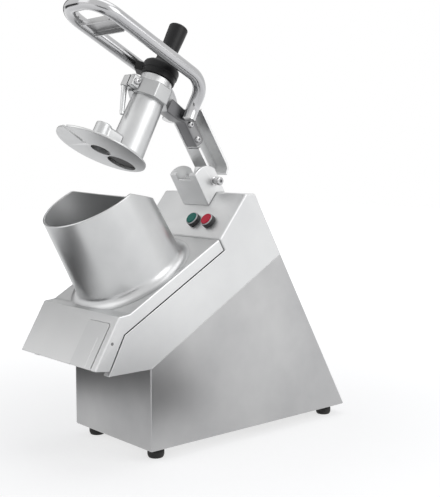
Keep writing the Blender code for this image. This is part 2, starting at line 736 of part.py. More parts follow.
def build_latch():
    """Strip in the front face that turns on a cross pin; its nose holds under a bar on the right cheek."""
    face = face_frame()
    latch = box(
        "front_latch",
        (LATCH_LEFT, 0.001, LATCH_PROUD - LATCH_THICKNESS),
        (LATCH_RIGHT, LATCH_LENGTH, LATCH_PROUD),
        face,
        "cast_aluminium",
    )
    soften(latch, 0.0012)
    pin_place = face @ at(0, LATCH_PIN_UP, -LATCH_PIN_IN) @ ALONG_X
    barrel = rod("latch_barrel", LATCH_BARREL, LATCH_LEFT + 0.006, LATCH_RIGHT - 0.006, pin_place, sides=24)
    join(latch, barrel)
    web = box(
        "latch_web",
        (LATCH_LEFT + 0.006, LATCH_PIN_UP - 0.0035, -LATCH_PIN_IN),
        (LATCH_RIGHT - 0.006, LATCH_PIN_UP + 0.0035, LATCH_PROUD - LATCH_THICKNESS / 2),
        face,
    )
    join(latch, web)
    nose = box(
        "latch_nose",
        (LATCH_LEFT + 0.015, LATCH_NOSE_UP - 0.002, -LATCH_NOSE_DEPTH),
        (LATCH_RIGHT - 0.015, LATCH_NOSE_UP + 0.003, LATCH_PROUD - LATCH_THICKNESS / 2),
        face,
    )
    join(latch, nose)
    work(latch, rod("latch_bore", LATCH_PIN_RADIUS + RUNNING, 0, 0.15, pin_place, sides=24))
    carry(axis_empty("latch_axis", pin_place), [latch])

    bar = face @ at(0, CATCH_UP, -CATCH_IN) @ ALONG_X
    wall = CHUTE_HALF_WIDTH - SEAT
    cheek = wall - 0.004
    outline = [(-0.0930, 0.1780), (-0.0930, 0.1920), (-0.0700, 0.2080), (-0.0450, 0.2080), (-0.0450, 0.1850), (-0.0700, 0.1780)]
    catch = plate("latch_catch", outline, cheek, wall, Matrix(), "polished_steel")
    join(catch, rod("catch_bar", CATCH_RADIUS, LATCH_LEFT + 0.012, cheek + 0.001, bar, sides=24))


def build_drive():
    """Motor under the head, belt up to the driven pulley, and the disc shaft in its bearings."""
    disc_axis = HEAD @ at(0, DISC_PLACE, 0)
    shaft = smooth(rod("drive_shaft", SHAFT_RADIUS, SHAFT_BOTTOM, SHAFT_TOP, disc_axis, "polished_steel"))
    inner = SHAFT_RADIUS + SEAT
    low = BOSS_FOOT + 0.002
    ring("bearing_lower", inner, BEARING_RADIUS, low, low + BEARING_WIDTH, disc_axis, "polished_steel")
    low = low + BEARING_WIDTH + SEAT
    ring("bearing_upper", inner, BEARING_RADIUS, low, low + BEARING_WIDTH, disc_axis, "polished_steel")
    low = low + BEARING_WIDTH + SEAT
    ring("shaft_seal", inner, SEAL_RADIUS, low, CHAMBER_FLOOR + 0.001, disc_axis, "rubber")

    top = PULLEY_BASE + PULLEY_WIDTH
    flange = 0.0015
    profile = [
        (DRIVEN_RADIUS + flange, top),
        (DRIVEN_RADIUS + flange, top - flange),
        (DRIVEN_RADIUS, top - flange),
        (DRIVEN_RADIUS, PULLEY_BASE + flange),
        (DRIVEN_RADIUS + flange, PULLEY_BASE + flange),
        (DRIVEN_RADIUS + flange, PULLEY_BASE),
        (DRIVEN_RADIUS - 0.006, PULLEY_BASE),
        (DRIVEN_RADIUS - 0.008, PULLEY_BASE + 0.006),
        (SHAFT_RADIUS + 0.009, PULLEY_BASE + 0.006),
        (SHAFT_RADIUS + 0.008, PULLEY_BASE),
        (inner, PULLEY_BASE),
        (inner, top),
    ]
    driven = turned("driven_pulley", profile, disc_axis, "bright_aluminium", ring=True)

    motor_axis = HEAD @ at(0, MOTOR_PLACE, 0)
    small = MOTOR_PULLEY_RADIUS
    bore = MOTOR_SHAFT_RADIUS + SEAT
    profile = [
        (small + flange, top),
        (small + flange, top - flange),
        (small, top - flange),
        (small, PULLEY_BASE + flange),
        (small + flange, PULLEY_BASE + flange),
        (small + flange, PULLEY_BASE),
        (bore, PULLEY_BASE),
        (bore, top),
    ]
    pinion = turned("motor_pulley", profile, motor_axis, "bright_aluminium", ring=True, steps=32)

    def belt_loop(extra):
        big = DRIVEN_RADIUS + extra
        little = MOTOR_PULLEY_RADIUS + extra
        span = MOTOR_PLACE - DISC_PLACE
        lean = math.degrees(math.acos((big - little) / span))
        # the angle is measured from the line of centres, towards the small pulley
        around_big = arc((0, DISC_PLACE), big, 90 + lean, 450 - lean, 30)
        around_little = arc((0, MOTOR_PLACE), little, 90 - lean, 90 + lean, 12)
        return around_big + around_little

    low = PULLEY_BASE + (PULLEY_WIDTH - BELT_WIDTH) / 2
    slab(
        "drive_belt",
        belt_loop(SEAT + BELT_THICKNESS),
        low,
        low + BELT_WIDTH,
        HEAD,
        "rubber",
        holes=[belt_loop(SEAT)],
    )

    seam = seam_level()
    plate_top = seam - SEAT
    plate_low = plate_top - MOTOR_PLATE_THICKNESS
    half = BASE_HALF_WIDTH - SHEET - 0.004
    low_corner = (-half, MOTOR_PLACE - 0.070, plate_low)
    carrier = box("motor_plate", low_corner, (half, MOTOR_PLACE + 0.070, plate_top), HEAD, "stainless_sheet")
    work(carrier, rod("motor_plate_hole", MOTOR_PULLEY_RADIUS + 0.006, plate_low - 0.01, plate_top + 0.01, motor_axis))

    top = plate_low - SEAT
    bottom = top - MOTOR_LENGTH
    profile = [
        (0, top - 0.060),
        (bore, top - 0.060),
        (bore, top),
        (MOTOR_RADIUS, top),
        (MOTOR_RADIUS, top - 0.008),
        (MOTOR_RADIUS - 0.003, top - 0.012),
        (MOTOR_RADIUS - 0.003, bottom + 0.030),
        (MOTOR_RADIUS, bottom + 0.026),
        (MOTOR_RADIUS, bottom + 0.008),
        (MOTOR_RADIUS - 0.008, bottom),
        (0, bottom),
    ]
    turned("motor", profile, motor_axis, "dark_steel")
    rotor = rod("motor_shaft", MOTOR_SHAFT_RADIUS, top - 0.059, PULLEY_BASE + PULLEY_WIDTH + 0.003, motor_axis, "polished_steel")
    smooth(rotor)
    carry(axis_empty("motor_axis", motor_axis), [rotor, pinion])
    return shaft, driven


def build_disc(shaft, driven):
    """Ejector, cutting disc with three set blades, and the hub that holds them on the shaft."""
    disc_axis = HEAD @ at(0, DISC_PLACE, 0)
    inner = SHAFT_RADIUS + SEAT
    low = DISC_TOP - DISC_THICKNESS
    vane_top = low - 0.002
    profile = [
        (0.022, low - SEAT),
        (0.022, CHAMBER_FLOOR + 0.010),
        (0.026, CHAMBER_FLOOR + 0.008),
        (DISC_RADIUS - 0.002, CHAMBER_FLOOR + 0.008),
        (DISC_RADIUS - 0.002, CHAMBER_FLOOR + 0.005),
        (0.022, CHAMBER_FLOOR + 0.005),
        (0.022, CHAMBER_FLOOR + 0.002),
        (inner, CHAMBER_FLOOR + 0.002),
        (inner, low - SEAT),
    ]
    ejector = turned("ejector_disc", profile, disc_axis, "white_plastic", ring=True)
    for number in range(2):
        turn = Matrix.Rotation(math.pi * number, 4, "Z")
        corner = (0.020, -0.003, CHAMBER_FLOOR + 0.006)
        vane = box(f"vane_{number}", corner, (DISC_RADIUS - 0.004, 0.003, vane_top), disc_axis @ turn)
        join(ejector, vane)

    rim_drop = 0.004
    profile = [
        (DISC_RADIUS - 0.001, DISC_TOP),
        (DISC_RADIUS, DISC_TOP - 0.001),
        (DISC_RADIUS, low - rim_drop),
        (DISC_RADIUS - 0.002, low - rim_drop),
        (DISC_RADIUS - 0.003, low),
        (inner, low),
        (inner, DISC_TOP),
    ]
    disc = turned("cutting_disc", profile, disc_axis, "bright_aluminium", ring=True, steps=72)
    pieces = [disc]
    for number in range(BLADES):
        turn = Matrix.Rotation(2 * math.pi * number / BLADES, 4, "Z")
        place = disc_axis @ turn
        slot = box(
            f"blade_slot_{number}",
            (BLADE_INNER, -BLADE_SLOT, low - 0.01),
            (BLADE_OUTER, 0, DISC_TOP + 0.01),
            place,
        )
        work(disc, slot)
        seat = DISC_TOP + SEAT
        edge = 0.005
        outline = [
            (0.001, seat),
            (BLADE_WIDTH, seat),
            (BLADE_WIDTH, seat + BLADE_THICKNESS),
            (0.001, seat + BLADE_THICKNESS),
            (-edge, seat + BLADE_THICKNESS + BLADE_LIFT),
            (-edge - 0.001, seat + BLADE_THICKNESS + BLADE_LIFT - 0.0003),
        ]
        blade = plate(f"blade_{number + 1}", outline, BLADE_INNER + 0.001, BLADE_OUTER - 0.001, place, "polished_steel")
        pieces.append(blade)

    top = DISC_TOP + HUB_HEIGHT
    seat = DISC_TOP + SEAT
    ceiling = SHAFT_TOP + 0.001
    profile = [
        (0, top),
        (HUB_RADIUS * 0.5, top - 0.0015),
        (HUB_RADIUS * 0.85, top - 0.006),
        (HUB_RADIUS, top - 0.012),
        (HUB_RADIUS, seat + 0.004),
        (HUB_RADIUS + 0.003, seat + 0.002),
        (HUB_RADIUS + 0.003, seat),
        (inner, seat),
        (inner, ceiling),
        (0, ceiling),
    ]
    hub = turned("disc_hub", profile, disc_axis, "white_plastic")
    carry(axis_empty("disc_axis", disc_axis), [shaft, driven, ejector, hub, *pieces])


def build_buttons():
    """Start and stop push buttons through the control face, each with a collar and a switch behind."""
    for name, side in BUTTON_PLACES.items():
        place = PANEL @ at(side, BUTTON_UP_FACE, 0)
        guide = BUTTON_RADIUS + RUNNING
        guide_floor = SEAT + 0.0012
        neck_low = -CAST_WALL - 0.006
        profile = [
            (COLLAR_RADIUS - 0.0015, COLLAR_HEIGHT),
            (COLLAR_RADIUS, COLLAR_HEIGHT - 0.0015),
            (COLLAR_RADIUS, SEAT),
            (COLLAR_NECK, SEAT),
            (COLLAR_NECK, neck_low),
            (STEM_RADIUS + RUNNING, neck_low),
            (STEM_RADIUS + RUNNING, guide_floor),
            (guide, guide_floor),
            (guide, COLLAR_HEIGHT),
        ]
        turned(f"{name}_collar", profile, place, "black_plastic", ring=True, steps=32)
        stem_end = neck_low - 0.007
        disc_low = guide_floor + BUTTON_TRAVEL + 0.0005
        profile = [
            (0, BUTTON_TOP),
            (BUTTON_RADIUS - 0.001, BUTTON_TOP),
            (BUTTON_RADIUS, BUTTON_TOP - 0.001),
            (BUTTON_RADIUS, disc_low),
            (STEM_RADIUS, disc_low),
            (STEM_RADIUS, stem_end),
            (0, stem_end),
        ]
        look = "green_button" if name == "start" else "red_button"
        button = turned(f"{name}_button", profile, place, look, steps=32)
        carry(axis_empty(f"{name}_axis", place), [button])
        top = neck_low - SEAT
        switch = box(f"{name}_switch", (-0.015, -0.012, top - 0.034), (0.015, 0.012, top), place, "black_plastic")
        work(switch, rod(f"{name}_plunger", STEM_RADIUS + RUNNING, stem_end - BUTTON_TRAVEL - 0.002, 0, place, sides=24))


def build_post():
    """U-shaped cast post on the control housing, with the pivot bolt through its two ears."""
    top_u, top_v = panel_top()
    front_low = PANEL_STEP + (POST_FRONT - PANEL_FOOT) * math.tan(PANEL_SLOPE)
    ear = down_slope(EAR_Y, EAR_Z)
    start = math.degrees(math.acos((POST_REAR - ear[0]) / EAR_RADIUS))
    end = 180 - math.degrees(math.acos((ear[0] - POST_FRONT) / EAR_RADIUS))
    outline = [
        (POST_FRONT, front_low + 1.2 * SEAT),
        (top_u, top_v + 1.2 * SEAT),
        (POST_REAR, housing_level(POST_REAR) + 1.2 * SEAT),
        *arc(ear, EAR_RADIUS, start, end, 14),
    ]
    post = plate("post_bracket", outline, -POST_HALF_WIDTH, POST_HALF_WIDTH, HEAD, "cast_aluminium")
    soften(post, 0.0015, angle=60)
    half = POST_HALF_WIDTH - POST_WALL
    work(post, box("post_inside", (-half, POST_FRONT + POST_WALL, 0.2), (half, POST_REAR + 0.02, 0.4), HEAD))
    notch = box("post_notch", (-NOTCH_HALF_WIDTH, POST_FRONT - 0.01, NOTCH_FLOOR), (NOTCH_HALF_WIDTH, 0.41, 0.4), HEAD)
    work(post, notch)
    pivot = LEVER @ ALONG_X
    work(post, rod("pivot_hole", PIVOT_RADIUS + SEAT, -0.05, 0.05, pivot))
    side = POST_HALF_WIDTH + SEAT
    profile = [
        (0, PIVOT_HEAD_OUT + 0.008),
        (0.0065, PIVOT_HEAD_OUT + 0.008),
        (0.008, PIVOT_HEAD_OUT + 0.006),
        (0.008, PIVOT_HEAD_OUT),
        (0.0065, PIVOT_HEAD_OUT),
        (0.0065, side),
        (PIVOT_RADIUS, side),
        (PIVOT_RADIUS, -side - 0.008),
        (0, -side - 0.008),
    ]
    turned("pivot_bolt", profile, pivot, "polished_steel", steps=32)
    nut = rod("pivot_nut", 0.010, -side - 0.0075, -side, pivot, "polished_steel", sides=6)
    work(nut, rod("nut_bore", PIVOT_RADIUS + SEAT, -side - 0.02, -side + 0.02, pivot))


def to_lever(along, across):
    """An arm point as (Y, Z) of the lever's frame."""
    y = -along * math.cos(ARM_SLOPE) + across * math.sin(ARM_SLOPE)
    z = along * math.sin(ARM_SLOPE) + across * math.cos(ARM_SLOPE)
    return y, z


def build_lever():
    """Channel arm, clamp bracket with its ring round the feed tube, and their bolts."""
    end = 0.018
    web_outline = [
        (-ARM_LENGTH, ARM_FRONT),
        (-FLANGE_START, ARM_FRONT),
        *arc((0, 0), ARM_BOSS, 165, 375, 16),
        (end, 0.036),
        (end, 0.048),
        (0.011, 0.058),
        (0, ARM_REAR),
        (-ARM_LENGTH, ARM_REAR),
    ]
    inner_web = -ARM_HALF_WIDTH + ARM_WALL
    arm = plate("lever_arm", web_outline, -ARM_HALF_WIDTH, inner_web, ARM, "cast_aluminium")
    rear_outline = [
        (-ARM_LENGTH, ARM_REAR - ARM_WALL),
        (-0.001, ARM_REAR - ARM_WALL),
        (0.0075, 0.0545),
        (0.0130, 0.0470),
        (end, 0.048),
        (0.011, 0.058),
        (0, ARM_REAR),
        (-ARM_LENGTH, ARM_REAR),
    ]
    join(arm, plate("rear_flange", rear_outline, -ARM_HALF_WIDTH, ARM_HALF_WIDTH, ARM))
    front_low = (-ARM_HALF_WIDTH, -TONGUE_START + 0.003, ARM_FRONT)
    join(arm, box("front_flange", front_low, (ARM_HALF_WIDTH, -FLANGE_START, ARM_FRONT + ARM_WALL), ARM))
    pivot = LEVER @ ALONG_X
    reach = POST_HALF_WIDTH - POST_WALL - SEAT
    join(arm, rod("arm_boss", ARM_BOSS, -reach, reach, pivot))
    work(arm, rod("arm_bore", PIVOT_RADIUS + RUNNING, -0.05, 0.05, pivot))

    low = inner_web + SEAT
    high = low + 2 * TONGUE_HALF_WIDTH
    tongue_end = ARM_LENGTH - 0.002
    deep = ARM_FRONT + TONGUE_DEPTH
    ring_rear = -TUBE_DISTANCE + TUBE_NECK_RADIUS + RING_WALL / 2
    outline = [
        to_lever(TONGUE_START, ARM_FRONT),
        to_lever(tongue_end, ARM_FRONT),
        (-0.112, RING_LOW - 0.001),
        (ring_rear, RING_LOW),
        (ring_rear, RING_HIGH - 0.002),
        (-0.105, RING_HIGH - 0.006),
        to_lever(tongue_end, deep),
        to_lever(TONGUE_START + 0.004, deep),
        to_lever(TONGUE_START, deep - 0.006),
    ]
    bracket = plate("clamp_bracket", outline, low, high, LEVER, "bright_aluminium")
    soften(bracket, 0.0015)
    tube_axis = LEVER @ at(0, -TUBE_DISTANCE, 0)
    collar = TUBE_NECK_RADIUS + RING_WALL
    flats = 8
    eighth = tube_axis @ Matrix.Rotation(math.pi / flats, 4, "Z")
    corner = collar / math.cos(math.pi / flats)
    join(bracket, rod("clamp_ring", corner, RING_LOW, RING_HIGH, eighth, sides=flats))
    lug_low = (-0.022, -TUBE_DISTANCE - collar - 0.016, RING_LOW + 0.004)
    lug = box("clamp_lug", lug_low, (0.013, -TUBE_DISTANCE - collar + 0.006, RING_HIGH - 0.004), LEVER)
    join(bracket, lug)
    foot_place = LEVER @ at(0, -HANDLE_FOOT_FORWARD, HANDLE_END + 0.012) @ ALONG_X
    boss_reach = HANDLE_FOOT_HALF - HANDLE_RADIUS - SEAT
    join(bracket, rod("handle_boss", 0.009, -boss_reach, boss_reach, foot_place))
    work(bracket, rod("tube_seat", TUBE_NECK_RADIUS + SEAT, RING_LOW - 0.02, RING_HIGH + 0.02, tube_axis, sides=48))
    slit_low = (-0.0015, -TUBE_DISTANCE - collar - 0.03, RING_LOW - 0.01)
    slit = box("clamp_slit", slit_low, (0.0015, -TUBE_DISTANCE - TUBE_NECK_RADIUS + 0.004, RING_HIGH + 0.01), LEVER)
    work(bracket, slit)
    bolt_place = LEVER @ at(0, -TUBE_DISTANCE - collar - 0.007, (RING_LOW + RING_HIGH) / 2) @ ALONG_X
    work(bracket, rod("clamp_hole", ARM_BOLT_RADIUS + SEAT, -0.02, 0.02, bolt_place, sides=24))
    pieces = [arm, bracket]
    pieces.append(screw_bolt("clamp_bolt", ARM_BOLT_RADIUS, -0.012, 0.013 + SEAT, bolt_place))
    for name, along in ARM_BOLTS.items():
        y, z = to_lever(along, ARM_FRONT + 0.009)
        place = LEVER @ at(0, y, z) @ ALONG_X
        hole = rod(f"{name}_hole", ARM_BOLT_RADIUS + SEAT, -0.03, 0.03, place, sides=24)
        work(bracket, hole)
        work(arm, hole)
        pieces.append(screw_bolt(name, ARM_BOLT_RADIUS, -ARM_HALF_WIDTH, high + SEAT, place))
    return pieces


def screw_bolt(name, radius, low, head, frame):
    """A domed bolt along the frame's Z, with its head outward of its seat."""
    profile = [
        (0, head + 0.005),
        (radius * 1.1, head + 0.0045),
        (radius * 1.6, head + 0.0025),
        (radius * 1.6, head),
        (radius, head),
        (radius, low),
        (0, low),
    ]
    return turned(name, profile, frame, "polished_steel", steps=24)


def build_pusher():
    """Feed tube through its pusher plate, the guide finger and the sliding pestle."""
    tube_axis = LEVER @ at(0, -TUBE_DISTANCE, 0)
    plate_axis = LEVER @ at(0, -HOPPER_DISTANCE, 0)
    plate_top = PLATE_LOW + PLATE_THICKNESS
    foot = plate_top + SEAT
    profile = [
        (TUBE_NECK_RADIUS, TUBE_TOP),
        (TUBE_NECK_RADIUS, RING_LOW - 0.004),
        (TUBE_FOOT_RADIUS - 0.001, foot + 0.012),
        (TUBE_FOOT_RADIUS, foot),
        (TUBE_BORE, foot),
        (TUBE_BORE, TUBE_TOP),
    ]
    tube = turned("feed_tube", profile, tube_axis, "bright_aluminium", ring=True)

    edge = 0.0015
    profile = [
        (0, plate_top),
        (PLATE_RADIUS - edge, plate_top),
        (PLATE_RADIUS, plate_top - edge),
        (PLATE_RADIUS, PLATE_LOW + 0.001),
        (PLATE_RADIUS - 0.001, PLATE_LOW),
        (0, PLATE_LOW),
    ]
    pusher = turned("pusher_plate", profile, plate_axis, "cast_aluminium", steps=72)
    boss_top = PLATE_LOW + RECESS_DEPTH + RECESS_WALL
    join(pusher, rod("recess_boss", HUB_RECESS + RECESS_WALL, plate_top - 0.002, boss_top, plate_axis, tip=HUB_RECESS))
    work(pusher, rod("hub_recess", HUB_RECESS, PLATE_LOW - 0.01, PLATE_LOW + RECESS_DEPTH, plate_axis))
    work(pusher, rod("feed_hole", TUBE_BORE, PLATE_LOW - 0.01, boss_top + 0.01, tube_axis, sides=48))
    clearing = rod("tube_clearing", TUBE_FOOT_RADIUS + SEAT, plate_top, boss_top + 0.02, tube_axis, sides=48)
    work(pusher, clearing)
    slot = box(
        "plate_slot",
        (-PLATE_SLOT / 2, -PLATE_RADIUS - 0.01, PLATE_LOW - 0.01),
        (PLATE_SLOT / 2, -PLATE_SLOT_START, plate_top + 0.01),
        plate_axis,
    )
    work(pusher, slot)

    collar = TUBE_NECK_RADIUS + RING_WALL
    lug_under = RING_LOW + 0.004 - SEAT
    top_place = Vector((-0.014, -TUBE_DISTANCE - collar - 0.0105, lug_under))
    tip_place = Vector((-0.001, -TUBE_DISTANCE - TUBE_FOOT_RADIUS - 0.005, FINGER_TIP))
    lean = (top_place - tip_place).to_track_quat("Z", "Y").to_matrix().to_4x4()
    finger_frame = LEVER @ Matrix.Translation(tip_place) @ lean
    length = (top_place - tip_place).length + 0.004
    finger = rod("guide_finger", FINGER_TIP_RADIUS, 0, length, finger_frame, "bright_aluminium", tip=FINGER_TOP_RADIUS, sides=24)
    smooth(finger)
    trim = box("finger_trim", (-0.04, top_place.y - 0.02, lug_under), (0.02, top_place.y + 0.02, RING_HIGH), LEVER)
    work(finger, trim)

    plug = TUBE_BORE - PESTLE_CLEARANCE
    low = PLATE_LOW + 0.004
    seat = TUBE_TOP + SEAT
    cap_top = seat + CAP_HEIGHT
    profile = [
        (0, GRIP_TOP),
        (GRIP_RADIUS - 0.003, GRIP_TOP),
        (GRIP_RADIUS, GRIP_TOP - 0.003),
        (GRIP_RADIUS - 0.0015, GRIP_TOP - 0.040),
        (GRIP_RADIUS, cap_top + 0.004),
        (GRIP_RADIUS + 0.004, cap_top),
        (CAP_RADIUS - 0.003, cap_top - 0.004),
        (CAP_RADIUS, cap_top - 0.008),
        (CAP_RADIUS, seat),
        (plug, seat),
        (plug, low + 0.003),
        (plug - 0.003, low),
        (0, low),
    ]
    pestle = turned("pestle", profile, tube_axis, "black_plastic")
    lug_place = tube_axis @ Matrix.Rotation(math.radians(40), 4, "Z")
    lug = box("pestle_lug", (-0.045, -0.013, seat + 0.004), (-CAP_RADIUS + 0.006, 0.013, cap_top - 0.010), lug_place)
    join(pestle, lug)
    carry(axis_empty("pestle_axis", tube_axis), [pestle])
    return [tube, pusher, finger]


def build_handle():
    """Bent tube loop on the bracket's two bosses, with a folded cross plate near its front."""
    side = HANDLE_HALF_WIDTH
    inward = HANDLE_FOOT_HALF
    right = [
        (inward, -HANDLE_FOOT_FORWARD, HANDLE_END),
        (inward, -HANDLE_FOOT_FORWARD - 0.002, HANDLE_END + 0.026),
        (side, -HANDLE_BACK, HANDLE_HEIGHT),
        (side, -HANDLE_FRONT, HANDLE_HEIGHT),
    ]
    left = [(-x, y, z) for x, y, z in reversed(right)]
    bends = [0.040, 0.045, HANDLE_CORNER, HANDLE_CORNER, 0.045, 0.040]
    loop = tube_path("handle_loop", rounded_path(right + left, bends), HANDLE_RADIUS, LEVER, "polished_steel")
    smooth(loop)

    half = HANDLE_HALF_WIDTH - HANDLE_RADIUS - SEAT
    sheet = CROSS_PLATE_SHEET
    top = HANDLE_HEIGHT + sheet / 2
    drop = top - CROSS_PLATE_FLANGE
    outline = [
        (-CROSS_PLATE_LOW, top),
        (-CROSS_PLATE_HIGH, top),
        (-CROSS_PLATE_HIGH, drop),
        (-CROSS_PLATE_HIGH + sheet, drop),
        (-CROSS_PLATE_HIGH + sheet, top - sheet),
        (-CROSS_PLATE_LOW - sheet, top - sheet),
        (-CROSS_PLATE_LOW - sheet, drop),
        (-CROSS_PLATE_LOW, drop),
    ]
    cross = plate("handle_cross_plate", outline, -half, half, LEVER, "stainless_sheet")
    return [loop, cross]


HANDLE_FOOT_HALF = ARM_HALF_WIDTH + HANDLE_RADIUS + 2 * SEAT

clear_scene()
PARTS = new_collection("vegetable_cutting_machine")
CUTTERS = new_collection("cutters", hidden=True)
build_base()
build_head()
build_lid()
build_latch()
disc_shaft, driven_pulley = build_drive()
build_disc(disc_shaft, driven_pulley)
build_buttons()
build_post()
lever_axis = axis_empty("lever_axis", LEVER)
carry(lever_axis, build_lever())
carry(lever_axis, build_pusher())
carry(lever_axis, build_handle())
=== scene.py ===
"""Vegetable cutting machine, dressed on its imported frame: steel base, sloping cast head, hopper and lever."""
import math

import bmesh
import bpy
from mathutils import Matrix, Vector


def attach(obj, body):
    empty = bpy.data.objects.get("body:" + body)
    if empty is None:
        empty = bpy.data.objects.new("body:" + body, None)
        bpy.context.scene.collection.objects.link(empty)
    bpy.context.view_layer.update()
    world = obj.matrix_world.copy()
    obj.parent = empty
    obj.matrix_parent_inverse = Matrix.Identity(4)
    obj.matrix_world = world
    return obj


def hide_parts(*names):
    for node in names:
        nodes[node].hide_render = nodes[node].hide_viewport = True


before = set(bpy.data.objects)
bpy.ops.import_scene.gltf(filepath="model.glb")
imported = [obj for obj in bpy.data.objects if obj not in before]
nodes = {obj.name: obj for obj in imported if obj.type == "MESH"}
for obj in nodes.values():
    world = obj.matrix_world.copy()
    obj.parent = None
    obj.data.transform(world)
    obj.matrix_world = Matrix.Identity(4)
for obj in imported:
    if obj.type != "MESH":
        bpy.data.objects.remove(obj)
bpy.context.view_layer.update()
scene = bpy.context.scene

# Studio
# A white room with a pale floor. One large soft lamp stands to the right, weaker ones in front on the
# left and above. Dark boards stand out of view, so that the steel has something dark to show.
scene.view_settings.view_transform = "Standard"

CAMERA_PLACE = (1.3727, -1.11675, 0.5199)
CAMERA_TURN = math.radians(48.97)
CAMERA_DOWN = math.radians(5.495)
FOCAL_PIXELS = 930.5
PHOTO_WIDTH = 440

view = bpy.data.cameras.new("photo_camera")
view.sensor_fit = "HORIZONTAL"
view.sensor_width = 36.0
view.lens = view.sensor_width * FOCAL_PIXELS / PHOTO_WIDTH
camera = bpy.data.objects.new("photo_camera", view)
camera.location = CAMERA_PLACE
camera.rotation_euler = (math.pi / 2 - CAMERA_DOWN, 0, CAMERA_TURN)
scene.collection.objects.link(camera)
scene.camera = camera


def node(tree, kind, inputs=(), **settings):
    """One shader node with its settings; an input is a number, a colour or another node's socket."""
    made = tree.nodes.new(kind)
    for setting, value in settings.items():
        setattr(made, setting, value)
    for socket, value in dict(inputs).items():
        if isinstance(value, bpy.types.NodeSocket):
            tree.links.new(value, made.inputs[socket])
        else:
            made.inputs[socket].default_value = value
    return made


def seen_directly(tree):
    """1 where the camera, a mirror image or a look through glass meets the studio."""
    path = node(tree, "ShaderNodeLightPath")
    shine = node(
        tree, "ShaderNodeMath", {0: path.outputs["Is Camera Ray"], 1: path.outputs["Is Glossy Ray"]},
        operation="MAXIMUM",
    )
    both = node(
        tree, "ShaderNodeMath", {0: shine.outputs[0], 1: path.outputs["Is Transmission Ray"]},
        operation="MAXIMUM",
    )
    return both.outputs[0]


room = bpy.data.worlds.new("white_room")
room.use_nodes = True
scene.world = room
air = room.node_tree
air.nodes.clear()
dim = node(air, "ShaderNodeBackground", {"Color": (0.93, 0.95, 1.0, 1), "Strength": 0.42})
white = node(air, "ShaderNodeBackground", {"Color": (1, 1, 1, 1), "Strength": 1.0})
room_mix = node(air, "ShaderNodeMixShader", {0: seen_directly(air), 1: dim.outputs[0], 2: white.outputs[0]})
node(air, "ShaderNodeOutputWorld", {"Surface": room_mix.outputs[0]})


def board(name, width, height, place, aim):
    """A flat board facing a point, upright."""
    shape = bmesh.new()
    bmesh.ops.create_grid(shape, x_segments=1, y_segments=1, size=0.5)
    bmesh.ops.scale(shape, vec=(width, height, 1), verts=shape.verts)
    mesh = bpy.data.meshes.new(name)
    shape.to_mesh(mesh)
    shape.free()
    made = bpy.data.objects.new(name, mesh)
    made.location = place
    made.rotation_euler = (Vector(place) - Vector(aim)).to_track_quat("Z", "Y").to_euler()
    scene.collection.objects.link(made)
    return made


floor = board("floor", 14, 14, (0, 0, 0), (0, 0, -1))
pale = bpy.data.materials.new("pale_floor")
pale.use_nodes = True
paint = pale.node_tree
paint.nodes.clear()
matt = node(paint, "ShaderNodeBsdfDiffuse", {"Color": (0.80, 0.80, 0.80, 1)})
thin = node(paint, "ShaderNodeBsdfDiffuse", {"Color": (0.42, 0.42, 0.42, 1)})
spot = node(paint, "ShaderNodeTexCoord").outputs["Object"]
away = node(paint, "ShaderNodeVectorMath", {0: spot}, operation="LENGTH")
far = node(
    paint, "ShaderNodeMapRange",
    {"Value": away.outputs["Value"], "From Min": 0.3, "From Max": 2.0, "To Min": 0.66, "To Max": 1.0},
)
glow = node(paint, "ShaderNodeEmission", {"Color": (1, 1, 1, 1), "Strength": far.outputs[0]})
lit = node(paint, "ShaderNodeAddShader", {0: thin.outputs[0], 1: glow.outputs[0]})
floor_look = {0: seen_directly(paint), 1: matt.outputs[0], 2: lit.outputs[0]}
floor_mix = node(paint, "ShaderNodeMixShader", floor_look)
node(paint, "ShaderNodeOutputMaterial", {"Surface": floor_mix.outputs[0]})
floor.data.materials.append(pale)

dark = bpy.data.materials.new("dark_board")
dark.use_nodes = True
dark_paint = dark.node_tree.nodes["Principled BSDF"].inputs
dark_paint["Base Color"].default_value = (0.03, 0.03, 0.032, 1)
dark_paint["Roughness"].default_value = 1.0
MIDDLE = (0, 0, 0.35)
BOARDS = {
    "board_front_left": (0.8, 0.15, (-0.26, -0.46, 0.075)),
    "board_lid": (0.5, 0.30, (-0.75, -0.62, 0.66)),
    "board_front_right": (1.5, 0.5, (1.2, -1.6, 0.2)),
    "board_low_right": (0.30, 0.13, (0.36, -0.06, 0.065)),
    "board_left": (1.0, 1.4, (-2.2, 0.4, 1.3)),
}
for name, (width, height, place) in BOARDS.items():
    card = board(name, width, height, place, MIDDLE)
    card.data.materials.append(dark)
    card.visible_camera = False
    card.visible_diffuse = False
    card.visible_shadow = False

LAMPS = {
    "lamp_right": (15.0, 1.6, (2.0, 0.5, 1.5)),
    "lamp_front": (8.0, 1.8, (-0.9, -2.3, 1.7)),
    "lamp_top": (8.0, 1.5, (0.2, 0.3, 2.5)),
}
for name, (power, width, place) in LAMPS.items():
    lamp = bpy.data.lights.new(name, "AREA")
    lamp.energy = power
    lamp.size = width
    holder = bpy.data.objects.new(name, lamp)
    holder.location = place
    holder.rotation_euler = (Vector(place) - Vector(MIDDLE)).to_track_quat("Z", "Y").to_euler()
    scene.collection.objects.link(holder)

# Base
# A housing of 1.5 mm stainless sheet, bent round its upright corners and brushed. It is open above and
# below and closed by a floor plate, which carries four turned rubber feet. The mains lead's gland sits
# low in the sloping rear wall.
TILT = math.radians(30)
MACHINE = Matrix.Translation((0.0074, -0.18775, 0))
HEAD = MACHINE @ Matrix.Rotation(TILT, 4, "X")
ALONG_X = Matrix.Rotation(math.radians(90), 4, "Y")
ALONG_Y = Matrix.Rotation(math.radians(-90), 4, "X")

